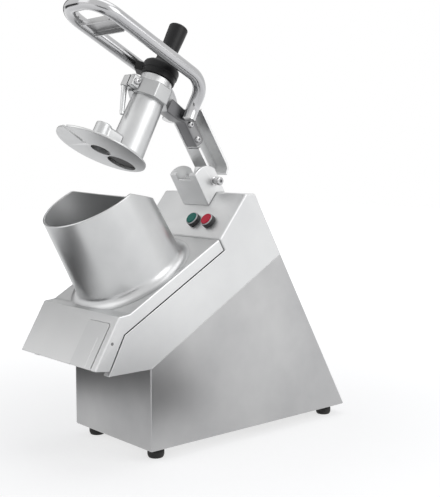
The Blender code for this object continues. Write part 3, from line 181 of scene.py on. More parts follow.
BASE_HALF_WIDTH = 0.1192
FOOT_HEIGHT = 0.020
SHEET = 0.0015
CLEARANCE = 0.0003
SEAM = 0.1428941916
HEAD_REAR = 0.437
FLOOR_REAR = 0.4899


def at(x, y, z):
    return Matrix.Translation((x, y, z))


def piece_from(name, shape, place):
    """A mesh piece from a shape laid out in a frame."""
    bmesh.ops.recalc_face_normals(shape, faces=shape.faces)
    mesh = bpy.data.meshes.new(name)
    shape.to_mesh(mesh)
    shape.free()
    piece = bpy.data.objects.new(name, mesh)
    piece.matrix_world = place
    scene.collection.objects.link(piece)
    return piece


def between(name, first, second, place):
    """A solid between two outlines that have the same number of points."""
    shape = bmesh.new()
    near, far = [[shape.verts.new(point) for point in outline] for outline in (first, second)]
    shape.faces.new(near)
    shape.faces.new(far)
    for i in range(len(near)):
        shape.faces.new((near[i - 1], near[i], far[i], far[i - 1]))
    return piece_from(name, shape, place)


def prism(name, outline, low, high, place):
    """A side view outline, (Y, Z) points, filled from low to high along X."""
    return between(name, [(low, y, z) for y, z in outline], [(high, y, z) for y, z in outline], place)


def block(name, low, high, place):
    outline = [(low[1], low[2]), (high[1], low[2]), (high[1], high[2]), (low[1], high[2])]
    return prism(name, outline, low[0], high[0], place)


def turned(name, profile, place, steps=96, ring=False):
    """(radius, height) points turned about the frame's Z, down the outer side, with flat ends."""
    shape = bmesh.new()
    rows = []
    for radius, height in profile:
        if radius == 0:
            continue
        turns = [2 * math.pi * k / steps for k in range(steps)]
        rows.append([shape.verts.new((radius * math.cos(t), radius * math.sin(t), height)) for t in turns])
    pairs = list(zip(rows, rows[1:]))
    if ring:
        pairs.append((rows[-1], rows[0]))
    else:
        shape.faces.new(rows[0])
        shape.faces.new(rows[-1])
    for upper, lower in pairs:
        for k in range(steps):
            shape.faces.new((upper[k - 1], upper[k], lower[k], lower[k - 1]))
    return piece_from(name, shape, place)


def rod(name, radius, low, high, place, steps=64):
    return turned(name, [(0, high), (radius, high), (radius, low), (0, low)], place, steps)


def settle(piece):
    """Keep a piece's shape as its modifiers leave it."""
    graph = bpy.context.evaluated_depsgraph_get()
    mesh = bpy.data.meshes.new_from_object(piece.evaluated_get(graph))
    piece.modifiers.clear()
    piece.data = mesh
    return piece


def work(piece, tool, operation="DIFFERENCE"):
    """Cut a tool out of a piece, or weld it on, and put the tool away."""
    change = piece.modifiers.new("work", "BOOLEAN")
    change.operation = operation
    change.object = tool
    change.solver = "EXACT"
    settle(piece)
    bpy.data.objects.remove(tool)
    return piece


def join(piece, tool):
    return work(piece, tool, "UNION")


def round_edges(piece, width, segments=3, angle=30, seam=()):
    """Round the edges that turn sharply. Those between seam points, (Y, Z), take a quarter of the width."""
    shape = bmesh.new()
    shape.from_mesh(piece.data)
    layers = shape.edges.layers.float
    share = layers.get("bevel_weight_edge") or layers.new("bevel_weight_edge")
    for edge in shape.edges:
        sharp = edge.calc_face_angle(0) > math.radians(angle)
        ends = [(end.co.y, end.co.z) for end in edge.verts]
        on_seam = all(any(math.dist(end, point) < 1e-5 for point in seam) for end in ends)
        edge[share] = (0.25 if on_seam else 1.0) if sharp else 0.0
    shape.to_mesh(piece.data)
    shape.free()
    bevel = piece.modifiers.new("edges", "BEVEL")
    bevel.width = width
    bevel.segments = segments
    bevel.limit_method = "WEIGHT"
    bevel.use_clamp_overlap = True
    return settle(piece)


def shade(piece, angle=35):
    """Smooth shading that stops at the real edges and keeps large faces flat."""
    for face in piece.data.polygons:
        face.use_smooth = True
    piece.data.set_sharp_from_angle(angle=math.radians(angle))
    flats = piece.modifiers.new("flats", "WEIGHTED_NORMAL")
    flats.keep_sharp = True
    return settle(piece)


def fit(piece, material, body, replaced=()):
    """Set a piece in its place, with its finish, its body and the nodes that it stands for."""
    piece.data.transform(piece.matrix_world)
    piece.matrix_world = Matrix()
    piece.data.materials.clear()
    piece.data.materials.append(material)
    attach(piece, body)
    if replaced:
        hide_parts(*replaced)
    return piece


def finish_nodes(material, *names):
    for name in names:
        for held in nodes[name].material_slots:
            held.material = material


def sockets(group, inputs, outputs):
    """Named inputs and outputs of a node group, with their defaults."""
    for name, (kind, value) in inputs.items():
        made = group.interface.new_socket(name=name, in_out="INPUT", socket_type=kind)
        made.default_value = value
    for name, kind in outputs.items():
        group.interface.new_socket(name=name, in_out="OUTPUT", socket_type=kind)


COLOUR, NUMBER, PLACE = "NodeSocketColor", "NodeSocketFloat", "NodeSocketVector"

# Metal surface: soft random clouds of a darker tone, a grain stretched along the brushing, and sharp
# edges made paler as a painted highlight
metal_skin = bpy.data.node_groups.new("metal_skin", "ShaderNodeTree")
sockets(
    metal_skin,
    {
        "Color": (COLOUR, (0.7, 0.7, 0.7, 1)),
        "Shade Color": (COLOUR, (0.5, 0.5, 0.5, 1)),
        "Edge Highlight Color": (COLOUR, (0.9, 0.9, 0.9, 1)),
        "Cloud Scale": (NUMBER, 9.0),
        "Grain": (PLACE, (600.0, 600.0, 600.0)),
        "Roughness": (NUMBER, 0.4),
        "Roughness Spread": (NUMBER, 0.1),
    },
    {"Color": COLOUR, "Roughness": NUMBER, "Height": NUMBER},
)
tree = metal_skin
given = node(tree, "NodeGroupInput").outputs
spot = node(tree, "ShaderNodeTexCoord").outputs["Object"]
soft = {"Vector": spot, "Scale": given["Cloud Scale"], "Detail": 4.0, "Roughness": 0.55}
cloud = node(tree, "ShaderNodeTexNoise", soft)
cloud_mask = node(tree, "ShaderNodeMapRange", {"Value": cloud.outputs[0], "From Min": 0.35, "From Max": 0.68})
shaded = node(
    tree, "ShaderNodeMix", {0: cloud_mask.outputs[0], 6: given["Color"], 7: given["Shade Color"]},
    data_type="RGBA",
)
stretched = node(tree, "ShaderNodeVectorMath", {0: spot, 1: given["Grain"]}, operation="MULTIPLY")
fine = {"Vector": stretched.outputs[0], "Scale": 1.0, "Detail": 3.0, "Roughness": 0.6}
grain = node(tree, "ShaderNodeTexNoise", fine)
# Painted highlight: edges that turn sharply outwards, found by pointiness, are mixed towards a paler colour.
sharp = node(tree, "ShaderNodeNewGeometry").outputs["Pointiness"]
convex = {"Value": sharp, "From Min": 0.52, "From Max": 0.60, "To Max": 0.8}
edge_highlight_mask = node(tree, "ShaderNodeMapRange", convex)
edge_highlighted = node(
    tree, "ShaderNodeMix", {0: edge_highlight_mask.outputs[0], 6: shaded.outputs[2], 7: given["Edge Highlight Color"]},
    data_type="RGBA",
)
grain_part = node(tree, "ShaderNodeMapRange", {"Value": grain.outputs[0], "To Min": -0.5, "To Max": 0.5})
cloud_part = node(tree, "ShaderNodeMapRange", {"Value": cloud.outputs[0], "To Min": -0.5, "To Max": 0.5})
spread = node(tree, "ShaderNodeMath", {0: grain_part.outputs[0], 1: cloud_part.outputs[0]}, operation="ADD")
rough = node(
    tree, "ShaderNodeMath", {0: spread.outputs[0], 1: given["Roughness Spread"], 2: given["Roughness"]},
    operation="MULTIPLY_ADD",
)
node(
    tree, "NodeGroupOutput",
    {"Color": edge_highlighted.outputs[2], "Roughness": rough.outputs[0], "Height": grain.outputs[0]},
)


def surface(name, group, values, height, **gloss):
    """A material whose colour, roughness and bump come from a surface group."""
    made = bpy.data.materials.new(name)
    made.use_nodes = True
    inside = made.node_tree
    skin = node(inside, "ShaderNodeGroup", values, node_tree=group)
    bump = node(inside, "ShaderNodeBump", {"Height": skin.outputs["Height"], "Distance": height})
    shader = inside.nodes["Principled BSDF"]
    for socket, value in gloss.items():
        shader.inputs[socket.replace("_", " ")].default_value = value
    inside.links.new(skin.outputs["Color"], shader.inputs["Base Color"])
    inside.links.new(skin.outputs["Roughness"], shader.inputs["Roughness"])
    inside.links.new(bump.outputs[0], shader.inputs["Normal"])
    return made


def metal(name, colour, shade_colour, edge_highlight_colour, roughness, spread, grain, height, metallic=1, clouds=9.0):
    """A metal finish; the grain is finest along the axis with the largest number."""
    values = {
        "Color": (*colour, 1),
        "Shade Color": (*shade_colour, 1),
        "Edge Highlight Color": (*edge_highlight_colour, 1),
        "Cloud Scale": clouds,
        "Grain": grain,
        "Roughness": roughness,
        "Roughness Spread": spread,
    }
    return surface(name, metal_skin, values, height, Metallic=metallic)


brushed_sheet = metal(
    "brushed_sheet", (0.50, 0.50, 0.50), (0.41, 0.41, 0.415), (0.66, 0.66, 0.66), 0.34, 0.10,
    (900.0, 900.0, 14.0), 0.00004, clouds=6.0,
)
dull_sheet = metal(
    "dull_sheet", (0.50, 0.50, 0.50), (0.40, 0.40, 0.41), (0.60, 0.60, 0.60), 0.42, 0.12,
    (20.0, 700.0, 700.0), 0.00004,
)

top = SEAM - CLEARANCE
rear_foot = (HEAD_REAR - FOOT_HEIGHT * math.sin(TILT)) / math.cos(TILT)
rear_top = (
    HEAD_REAR * math.cos(TILT) - top * math.sin(TILT),
    HEAD_REAR * math.sin(TILT) + top * math.cos(TILT),
)
wall = SHEET / math.cos(TILT)
spill = 0.02
lean = spill * math.tan(TILT)
outside = [(0.0, FOOT_HEIGHT), (rear_foot, FOOT_HEIGHT), rear_top, (0.0, top / math.cos(TILT))]
hollow = [
    (SHEET, FOOT_HEIGHT - spill), (rear_foot - wall + lean, FOOT_HEIGHT - spill),
    (rear_top[0] - wall - lean, rear_top[1] + spill), (SHEET, top / math.cos(TILT) + spill),
]
base_housing = prism("base_housing", outside, -BASE_HALF_WIDTH, BASE_HALF_WIDTH, MACHINE)
round_edges(base_housing, 0.003, 4, seam=outside[2:])
inner_half = BASE_HALF_WIDTH - SHEET
work(base_housing, prism("base_hollow", hollow, -inner_half, inner_half, MACHINE))
gland_place = HEAD @ at(-0.070, HEAD_REAR, -0.100) @ ALONG_Y
work(base_housing, rod("gland_hole", 0.0083, -0.012, 0.008, gland_place @ Matrix.Rotation(0.02, 4, "Z"), 48))
shade(base_housing)
fit(base_housing, brushed_sheet, "base", ["base_shell"])
finish_nodes(dull_sheet, "base_plate", "motor_plate")


# Moulded surface: fine moulded grain, and a paler, duller skin where hands or tables rub it
moulded_skin = bpy.data.node_groups.new("moulded_skin", "ShaderNodeTree")
sockets(
    moulded_skin,
    {
        "Color": (COLOUR, (0.02, 0.02, 0.02, 1)),
        "Worn Color": (COLOUR, (0.04, 0.04, 0.04, 1)),
        "Grain Scale": (NUMBER, 900.0),
        "Roughness": (NUMBER, 0.4),
    },
    {"Color": COLOUR, "Roughness": NUMBER, "Height": NUMBER},
)
tree = moulded_skin
given = node(tree, "NodeGroupInput").outputs
spot = node(tree, "ShaderNodeTexCoord").outputs["Object"]
fine = node(tree, "ShaderNodeTexNoise", {"Vector": spot, "Scale": given["Grain Scale"], "Detail": 3.0})
wide = node(tree, "ShaderNodeTexNoise", {"Vector": spot, "Scale": 14.0, "Detail": 3.0})
rubbed = node(tree, "ShaderNodeMapRange", {"Value": wide.outputs[0], "From Min": 0.40, "From Max": 0.75})
tint = node(
    tree, "ShaderNodeMix", {0: rubbed.outputs[0], 6: given["Color"], 7: given["Worn Color"]},
    data_type="RGBA",
)
uneven = node(
    tree, "ShaderNodeMapRange",
    {"Value": wide.outputs[0], "From Min": 0.3, "From Max": 0.7, "To Min": -0.05, "To Max": 0.07},
)
rough = node(tree, "ShaderNodeMath", {0: given["Roughness"], 1: uneven.outputs[0]}, operation="ADD")
node(
    tree, "NodeGroupOutput",
    {"Color": tint.outputs[2], "Roughness": rough.outputs[0], "Height": fine.outputs[0]},
)


def plastic(name, colour, worn_colour, roughness, grain_scale, height, **gloss):
    """A plastic or rubber finish from the moulded skin group."""
    values = {
        "Color": (*colour, 1),
        "Worn Color": (*worn_colour, 1),
        "Grain Scale": grain_scale,
        "Roughness": roughness,
    }
    return surface(name, moulded_skin, values, height, **gloss)


foot_rubber = plastic("foot_rubber", (0.022, 0.022, 0.022), (0.045, 0.044, 0.042), 0.72, 900.0, 0.00006)
black_plastic = plastic(
    "black_plastic", (0.018, 0.018, 0.019), (0.032, 0.032, 0.033), 0.40, 1400.0, 0.00003,
)

FOOT_RADIUS = 0.015
FOOT_PLACES = {
    "foot_front_left": (-0.092, 0.030),
    "foot_front_right": (0.092, 0.030),
    "foot_rear_left": (-0.092, FLOOR_REAR - 0.030),
    "foot_rear_right": (0.092, FLOOR_REAR - 0.030),
}
foot_profile = [
    (0, FOOT_HEIGHT - CLEARANCE), (FOOT_RADIUS, FOOT_HEIGHT - CLEARANCE), (FOOT_RADIUS, 0.0150),
    (FOOT_RADIUS - 0.0012, 0.0140), (FOOT_RADIUS - 0.0012, 0.0130), (FOOT_RADIUS, 0.0120),
    (FOOT_RADIUS, 0.0060), (FOOT_RADIUS - 0.0010, 0.0025), (FOOT_RADIUS - 0.0025, 0.0005),
    (FOOT_RADIUS - 0.0040, 0.0), (0, 0.0),
]
for name, (side, depth) in FOOT_PLACES.items():
    foot = shade(turned(name + "_rubber", foot_profile, MACHINE @ at(side, depth, 0)))
    fit(foot, foot_rubber, "base", [name])

gland_profile = [
    (0.0035, 0.0200), (0.0075, 0.0200), (0.0090, 0.0185), (0.0100, 0.0160), (0.0108, 0.0075),
    (0.0110, 0.0065), (0.0110, 0.0003), (0.0080, 0.0003), (0.0080, -0.0100), (0.0035, -0.0100),
]
gland = turned("lead_gland", gland_profile, gland_place, ring=True)
for turn in range(12):
    turned_place = gland_place @ Matrix.Rotation(turn * math.pi / 6 + 0.01, 4, "Z")
    work(gland, rod("groove", 0.0011, 0.0085, 0.03, turned_place @ at(0.0113, 0, 0), 14))
fit(shade(gland), black_plastic, "base", ["cable_gland"])

# Head casting
# One aluminium casting, bead blasted to a soft satin. It holds the round chamber with its floor and
# bearing boss, the two cheeks beside the outlet, and the housing with the sloping control face. It sits
# on the steel base and is bolted to it from inside.
HEAD_HALF_WIDTH = 0.120
DECK = 0.2255
PANEL_FOOT = (0.3225, 0.2495)
PANEL_SLOPE = math.radians(21.5)
HOUSING_TOP = 0.457
CAST_WALL = 0.007
DISC_PLACE = 0.195
CHAMBER_FLOOR = 0.195
CEILING = 0.187
FLANK_CORNER = 0.069
CHAMBER_RADIUS = 0.107
OUTLET_HALF_WIDTH = 0.105
RIM_INSIDE = 0.104
CHUTE_WALL = 0.006
HINGE_OUT = 0.128
HINGE_DOWN = 0.152
KNUCKLE_RADIUS = 0.0068
HINGE_PLACES = (0.125, 0.275)
PANEL = HEAD @ at(0, *PANEL_FOOT) @ Matrix.Rotation(PANEL_SLOPE, 4, "X")
DISC_AXIS = HEAD @ at(0, DISC_PLACE, 0)

satin_cast = metal(
    "satin_cast", (0.70, 0.705, 0.705), (0.62, 0.625, 0.63), (0.80, 0.80, 0.80), 0.44, 0.10,
    (1100.0, 1100.0, 1100.0), 0.00003, clouds=5.0,
)


def sloped(y, z):
    """A side view point of the standing frame, in the head's sloping frame."""
    return y * math.cos(TILT) + z * math.sin(TILT), -y * math.sin(TILT) + z * math.cos(TILT)


def housing_level(place):
    return (HOUSING_TOP - place * math.sin(TILT)) / math.cos(TILT)


def arc(centre, radius, start, end, steps):
    turns = [math.radians(start + (end - start) * i / steps) for i in range(steps + 1)]
    return [(centre[0] + radius * math.cos(t), centre[1] + radius * math.sin(t)) for t in turns]


rise = HOUSING_TOP - PANEL_FOOT[0] * math.sin(TILT) - PANEL_FOOT[1] * math.cos(TILT)
run = rise / math.sin(TILT + PANEL_SLOPE)
panel_top = (PANEL_FOOT[0] + run * math.cos(PANEL_SLOPE), PANEL_FOOT[1] + run * math.sin(PANEL_SLOPE))
CHEEK_LOW = 0.165
cheek_foot = sloped(-0.086, CHEEK_LOW)
outline = [
    sloped(0, CHEEK_LOW), (HEAD_REAR, SEAM), (HEAD_REAR, housing_level(HEAD_REAR)), panel_top, PANEL_FOOT,
    (PANEL_FOOT[0], DECK), (FLANK_CORNER, DECK), cheek_foot,
]
casting = prism("head_casting", outline, -HEAD_HALF_WIDTH, HEAD_HALF_WIDTH, HEAD)
seam = [outline[0], outline[1], *outline[5:]]
round_edges(casting, 0.0035, 5, seam=seam)


def along_wall(y, level):
    """Up the slope to where a standing plane at y meets a level."""
    return (y + level * math.sin(TILT)) / math.cos(TILT)


low_level = SEAM - 0.010
inside = [
    (along_wall(CHUTE_WALL, low_level), low_level), (HEAD_REAR - CAST_WALL, low_level),
    (HEAD_REAR - CAST_WALL, housing_level(HEAD_REAR - CAST_WALL) - CAST_WALL * 1.15),
    (panel_top[0] - CAST_WALL * 0.6, panel_top[1] - CAST_WALL * 1.1),
    (PANEL_FOOT[0] + CAST_WALL, PANEL_FOOT[1] - CAST_WALL + CAST_WALL * math.tan(PANEL_SLOPE)),
    (PANEL_FOOT[0] + CAST_WALL, DECK - CAST_WALL),
    (along_wall(CHUTE_WALL, DECK - CAST_WALL), DECK - CAST_WALL),
]
cavity = prism("cavity", inside, -HEAD_HALF_WIDTH + CAST_WALL, HEAD_HALF_WIDTH - CAST_WALL, HEAD)
work(cavity, rod("chamber_wall", CHAMBER_RADIUS + CAST_WALL, CEILING, DECK, DISC_AXIS, 96))
for low, high in ((-HEAD_HALF_WIDTH, -RIM_INSIDE), (RIM_INSIDE, HEAD_HALF_WIDTH)):
    work(cavity, block("rim", (low, 0, SEAM - 0.02), (high, 0.5, SEAM + 0.007), HEAD))
work(casting, cavity)
work(casting, rod("chamber", CHAMBER_RADIUS, CHAMBER_FLOOR, DECK + 0.02, DISC_AXIS, 128))
outlet_high = (OUTLET_HALF_WIDTH, -CHUTE_WALL, 0.32)
work(casting, block("outlet", (-OUTLET_HALF_WIDTH, -0.2, 0.10), outlet_high, MACHINE))
join(casting, rod("boss", 0.030, 0.163, CEILING + 0.002, DISC_AXIS))
work(casting, rod("bearing_seat", 0.0203, 0.158, 0.1905, DISC_AXIS))
work(casting, rod("seal_seat", 0.0153, 0.1895, 0.205, DISC_AXIS))
BUTTON_PLACES = {"start": 0.024, "stop": 0.066}
BUTTON_UP_FACE = 0.0345
BUTTON_HOLE = 0.0113
for side in BUTTON_PLACES.values():
    work(casting, rod("button_hole", BUTTON_HOLE, -0.030, 0.020, PANEL @ at(side, BUTTON_UP_FACE, 0)))


def hinge_slab(name, outline, half_width, place):
    """An (X, Z) outline of the sloping frame, filled to both sides along the hinge."""
    near = [(x, -half_width, z) for x, z in outline]
    far = [(x, half_width, z) for x, z in outline]
    return between(name, near, far, HEAD @ at(0, place, 0))


for place in HINGE_PLACES:
    for side in (-1, 1):
        lug = [
            (-HEAD_HALF_WIDTH + 0.001, HINGE_DOWN + 0.016),
            *arc((-HINGE_OUT, HINGE_DOWN), KNUCKLE_RADIUS, 90, 270, 20),
            (-HEAD_HALF_WIDTH + 0.001, HINGE_DOWN - 0.008),
        ]
        join(casting, hinge_slab("lug", lug, 0.005, place + side * 0.0151))
hinge_line = HEAD @ at(-HINGE_OUT, 0, HINGE_DOWN) @ ALONG_Y
HINGE_BORE = 0.0033
work(casting, rod("hinge_bore", HINGE_BORE, 0.09, 0.31, hinge_line, 32))
shade(casting)
fit(casting, satin_cast, "base", ["head_body"])

polished_steel = metal(
    "polished_steel", (0.50, 0.50, 0.505), (0.44, 0.44, 0.45), (0.60, 0.60, 0.60), 0.19, 0.06,
    (500.0, 500.0, 500.0), 0.000004,
)
finish_nodes(polished_steel, "lid_hinge_pin", "bearing_lower", "bearing_upper", "drive_shaft", "motor_shaft")

# Lid
# A second casting in the same satin aluminium. It covers the disc and the outlet, turns on two arms at
# its left side, and has a recess with a cross pin for the latch in its front face.
LID_TOP = 0.250
BORE = 0.090
LID_WALL = 0.0055
LID_NOSE = (-0.113, 0.177)
LID_REAR = 0.321
LIP_PLACE = 0.0756
LIP_TOP = 0.2562
FACE = MACHINE @ at(0, *LID_NOSE) @ Matrix.Rotation(2 * TILT, 4, "X")
LATCH_LEFT = 0.043
LATCH_RIGHT = 0.105
LATCH_LENGTH = 0.083
LATCH_PIN_UP = 0.0534
LATCH_PIN_IN = 0.0090

flank = math.atan2(DECK - cheek_foot[1], FLANK_CORNER - cheek_foot[0])
gap = 0.0024
nose = sloped(*LID_NOSE)
under_nose = (
    cheek_foot[0] + 0.008 * math.cos(flank) - gap * math.sin(flank),
    cheek_foot[1] + 0.008 * math.sin(flank) + gap * math.cos(flank),
)
outline = [
    nose, under_nose, (FLANK_CORNER - gap * math.tan(flank / 2), DECK + gap), (LID_REAR, DECK + gap),
    (LID_REAR, LID_TOP), (LIP_PLACE + 0.020, LID_TOP), (LIP_PLACE + 0.010, LIP_TOP - 0.0020),
    (LIP_PLACE, nose[1] + (LIP_PLACE - nose[0]) * math.tan(TILT)),
]
lid = prism("lid_casting", outline, -HEAD_HALF_WIDTH, HEAD_HALF_WIDTH, HEAD)
round_edges(lid, 0.0022, 4, angle=8, seam=outline[1:4])
under = LID_TOP - LID_WALL
start = (nose[0] + LID_WALL * math.sin(TILT), nose[1] - LID_WALL * math.cos(TILT))
reach = start[0] + (under - start[1]) / math.tan(TILT)
back = 0.03
inside = [
    (start[0] - back * math.cos(TILT), start[1] - back * math.sin(TILT)), (reach, under),
    (LID_REAR - LID_WALL, under), (LID_REAR - LID_WALL, 0.165), (start[0] - back * math.cos(TILT), 0.165),
]
work(lid, prism("lid_hollow", inside, -HEAD_HALF_WIDTH + LID_WALL, HEAD_HALF_WIDTH - LID_WALL, HEAD))
work(lid, rod("lid_bore", BORE, DECK, LID_TOP + 0.02, DISC_AXIS, 128))
HINGE_ARM = 0.009
strap_in = -HEAD_HALF_WIDTH - 0.0012
for place in HINGE_PLACES:
    arm = [
        (-HEAD_HALF_WIDTH + 0.002, LID_TOP - 0.006), (-HEAD_HALF_WIDTH + 0.002, DECK + 0.004),
        (strap_in, DECK + 0.001),
        *arc((-HINGE_OUT, HINGE_DOWN), KNUCKLE_RADIUS, 0, -180, 20),
        (strap_in - HINGE_ARM, HINGE_DOWN + 0.016), (strap_in - HINGE_ARM, DECK + 0.006),
        (-HEAD_HALF_WIDTH - 0.004, LID_TOP - 0.006),
    ]
    join(lid, hinge_slab("hinge_arm", arm, 0.0095, place))
work(lid, rod("lid_hinge_bore", HINGE_BORE, 0.05, 0.35, hinge_line, 32))

latch_gap = 0.0012


def rounded_block(name, low, high, radius, place):
    """A block whose four upright corners, seen along the frame's Z, are rounded."""
    corners = [
        ((low[0] + radius, low[1] + radius), 180), ((high[0] - radius, low[1] + radius), 270),
        ((high[0] - radius, high[1] - radius), 0), ((low[0] + radius, high[1] - radius), 90),
    ]
    ring = [point for centre, turn in corners for point in arc(centre, radius, turn, turn + 90, 6)]
    return between(name, [(x, y, low[2]) for x, y in ring], [(x, y, high[2]) for x, y in ring], place)


low = (LATCH_LEFT - latch_gap, -0.05, -0.018)
high = (LATCH_RIGHT + latch_gap, LATCH_LENGTH + latch_gap, 0.02)
work(lid, rounded_block("latch_recess", low, high, 0.006, FACE))
low = (LATCH_LEFT - latch_gap, LATCH_LENGTH - 0.008, -0.018)
high = (LATCH_RIGHT + latch_gap, LATCH_LENGTH + 0.003, -LID_WALL / 2)
work(lid, block("latch_relief", low, high, FACE))
low = (LATCH_LEFT - 0.008, LATCH_PIN_UP - 0.007, -0.014)
join(lid, block("latch_ear", low, (LATCH_LEFT - latch_gap, LATCH_PIN_UP + 0.007, -LID_WALL / 2), FACE))
latch_pin_line = FACE @ at(0, LATCH_PIN_UP, -LATCH_PIN_IN) @ ALONG_X
LATCH_PIN_HOLE = 0.0028
low, high = LATCH_LEFT - 0.0063, HEAD_HALF_WIDTH + 0.01
work(lid, rod("latch_pin_hole", LATCH_PIN_HOLE, low, high, latch_pin_line, 32))
shade(lid)
fit(lid, satin_cast, "lid", ["lid_cover"])

dark_steel = metal(
    "dark_steel", (0.16, 0.16, 0.165), (0.12, 0.12, 0.12), (0.30, 0.30, 0.30), 0.34, 0.10,
    (700.0, 700.0, 700.0), 0.00002,
)
finish_nodes(dark_steel, "latch_pin", "motor")

# Hopper
# The tall round mouth, cast and then turned inside. Its wall grows thicker towards the foot, where a
# wide hollow fillet runs out onto the lid. The mouth's rear part is cut lower, which makes room for the
# lever. The turned inside is rougher, and coloured darker as painted shade inside the mouth.
HOPPER_WALL = 0.004
HOPPER_TOP = 0.410
FLARE = 0.0175

hopper_cast = metal(
    "hopper_cast", (0.60, 0.605, 0.605), (0.52, 0.525, 0.53), (0.84, 0.84, 0.84), 0.34, 0.10,
    (900.0, 900.0, 90.0), 0.00003, clouds=7.0,
)
foot = LID_TOP + CLEARANCE
outer_foot = BORE + HOPPER_WALL + 0.006
RIM_ROUND = 0.0016
MOUTH_CUT = (-0.018, 0.462)
MOUTH_SLOPE = math.tan(math.radians(8))
AROUND = 192


def rim_level(radius, turn):
    """The height of the rim: level in front, and cut by a nearly level plane behind."""
    place = DISC_PLACE + radius * math.sin(turn)
    fall = MOUTH_CUT[1] + MOUTH_SLOPE * MOUTH_CUT[0] - place * (math.sin(TILT) + MOUTH_SLOPE * math.cos(TILT))
    return min(HOPPER_TOP, fall / (math.cos(TILT) - MOUTH_SLOPE * math.sin(TILT)))


shape = bmesh.new()
columns = []
for k in range(AROUND):
    turn = 2 * math.pi * k / AROUND
    outer = rim_level(BORE + HOPPER_WALL, turn) - RIM_ROUND
    inner = rim_level(BORE, turn) - RIM_ROUND
    slant = 0.006 * (HOPPER_TOP - outer) / (HOPPER_TOP - foot)
    rim = BORE + HOPPER_WALL + slant
    low = foot + FLARE
    section = [
        (BORE, foot), *[(BORE, foot + (inner - foot) * i / 6) for i in range(1, 6)],
        *arc((BORE + RIM_ROUND, inner), RIM_ROUND, 180, 90, 5),
        *arc((rim - RIM_ROUND, outer), RIM_ROUND, 90, 0, 5),
        *[(rim + (outer_foot - rim) * i / 6, outer + (low - outer) * i / 6) for i in range(1, 6)],
        *arc((outer_foot + FLARE, low), FLARE, 180, 268, 14), (outer_foot + FLARE, foot),
    ]
    columns.append([shape.verts.new((r * math.cos(turn), r * math.sin(turn), z)) for r, z in section])
for before, after in zip(columns, columns[1:] + columns[:1]):
    for i in range(len(before)):
        shape.faces.new((before[i - 1], before[i], after[i], after[i - 1]))
hopper = shade(piece_from("hopper_mouth", shape, DISC_AXIS), 40)
# Painted shade: the inside faces get a darker, rougher finish; the darker colour stands for the shade in the
# bore.
inside_faces = []
for k, face in enumerate(hopper.data.polygons):
    if face.center.xy.length < BORE + 0.0001 and face.center.z < HOPPER_TOP:
        inside_faces.append(k)
fit(hopper, hopper_cast, "lid", ["hopper"])
hopper_bore_painted_shade = metal(
    "hopper_bore_painted_shade", (0.54, 0.545, 0.55), (0.45, 0.455, 0.46), (0.70, 0.70, 0.70), 0.46, 0.12,
    (900.0, 900.0, 90.0), 0.00003, clouds=7.0,
)


def coat(piece, material, faces):
    """Give some of a piece's faces a second finish."""
    piece.data.materials.append(material)
    for k in faces:
        piece.data.polygons[k].material_index = len(piece.data.materials) - 1


coat(hopper, hopper_bore_painted_shade, inside_faces)

# Latch
# A cast strip in the recess of the front face, a touch proud of it, that turns on the cross pin. A fine
# groove runs down near its right edge. Behind it, a steel bracket with a round bar is screwed to the
# inside of the right cheek.
plate_back = -0.0025
plate_front = 0.0015
low, high = (LATCH_LEFT, 0.001, plate_back), (LATCH_RIGHT, LATCH_LENGTH, plate_front)
latch = rounded_block("latch_strip", low, high, 0.005, FACE)
low, high = (LATCH_RIGHT - 0.0160, -0.02, plate_front - 0.0005), (LATCH_RIGHT - 0.0150, 0.056, 0.01)
work(latch, rounded_block("latch_groove", low, high, 0.0004, FACE))
round_edges(latch, 0.0006, 3, 40)
barrel_low, barrel_high = LATCH_LEFT + 0.006, LATCH_RIGHT - 0.006
join(latch, rod("latch_barrel", 0.0050, barrel_low, barrel_high, latch_pin_line, 48))
low, high = (barrel_low, LATCH_PIN_UP - 0.0035, -LATCH_PIN_IN), (barrel_high, LATCH_PIN_UP + 0.0035, -0.001)
join(latch, block("latch_web", low, high, FACE))
low, high = (LATCH_LEFT + 0.015, 0.010, -0.0112), (LATCH_RIGHT - 0.015, 0.015, -0.001)
join(latch, block("latch_nose", low, high, FACE))
work(latch, rod("latch_bore", LATCH_PIN_HOLE, 0, 0.15, latch_pin_line, 32))
shade(latch)
fit(latch, satin_cast, "latch", ["front_latch"])
finish_nodes(polished_steel, "latch_catch")

# Cutting disc and drive
# The stainless disc carries three ground blades over slots, on a white hub. The white ejector below it
# sweeps the slices out. Under the floor are the pulleys, the belt and the motor.
ground_steel = metal(
    "ground_steel", (0.74, 0.74, 0.745), (0.66, 0.66, 0.67), (0.85, 0.85, 0.85), 0.22, 0.08,
    (800.0, 60.0, 800.0), 0.00001,
)
bright_cast = metal(
    "bright_cast", (0.62, 0.625, 0.625), (0.54, 0.545, 0.55), (0.80, 0.80, 0.80), 0.40, 0.10,
    (1000.0, 1000.0, 1000.0), 0.00002,
)
white_plastic = plastic("white_plastic", (0.78, 0.78, 0.76), (0.70, 0.69, 0.66), 0.42, 1200.0, 0.00002)
belt_rubber = plastic("belt_rubber", (0.020, 0.020, 0.020), (0.040, 0.040, 0.038), 0.62, 1600.0, 0.00005)
finish_nodes(ground_steel, "cutting_disc", "blade_1", "blade_2", "blade_3")
finish_nodes(bright_cast, "driven_pulley", "motor_pulley", "run_capacitor")
finish_nodes(white_plastic, "ejector_disc", "disc_hub")
finish_nodes(belt_rubber, "drive_belt", "shaft_seal")

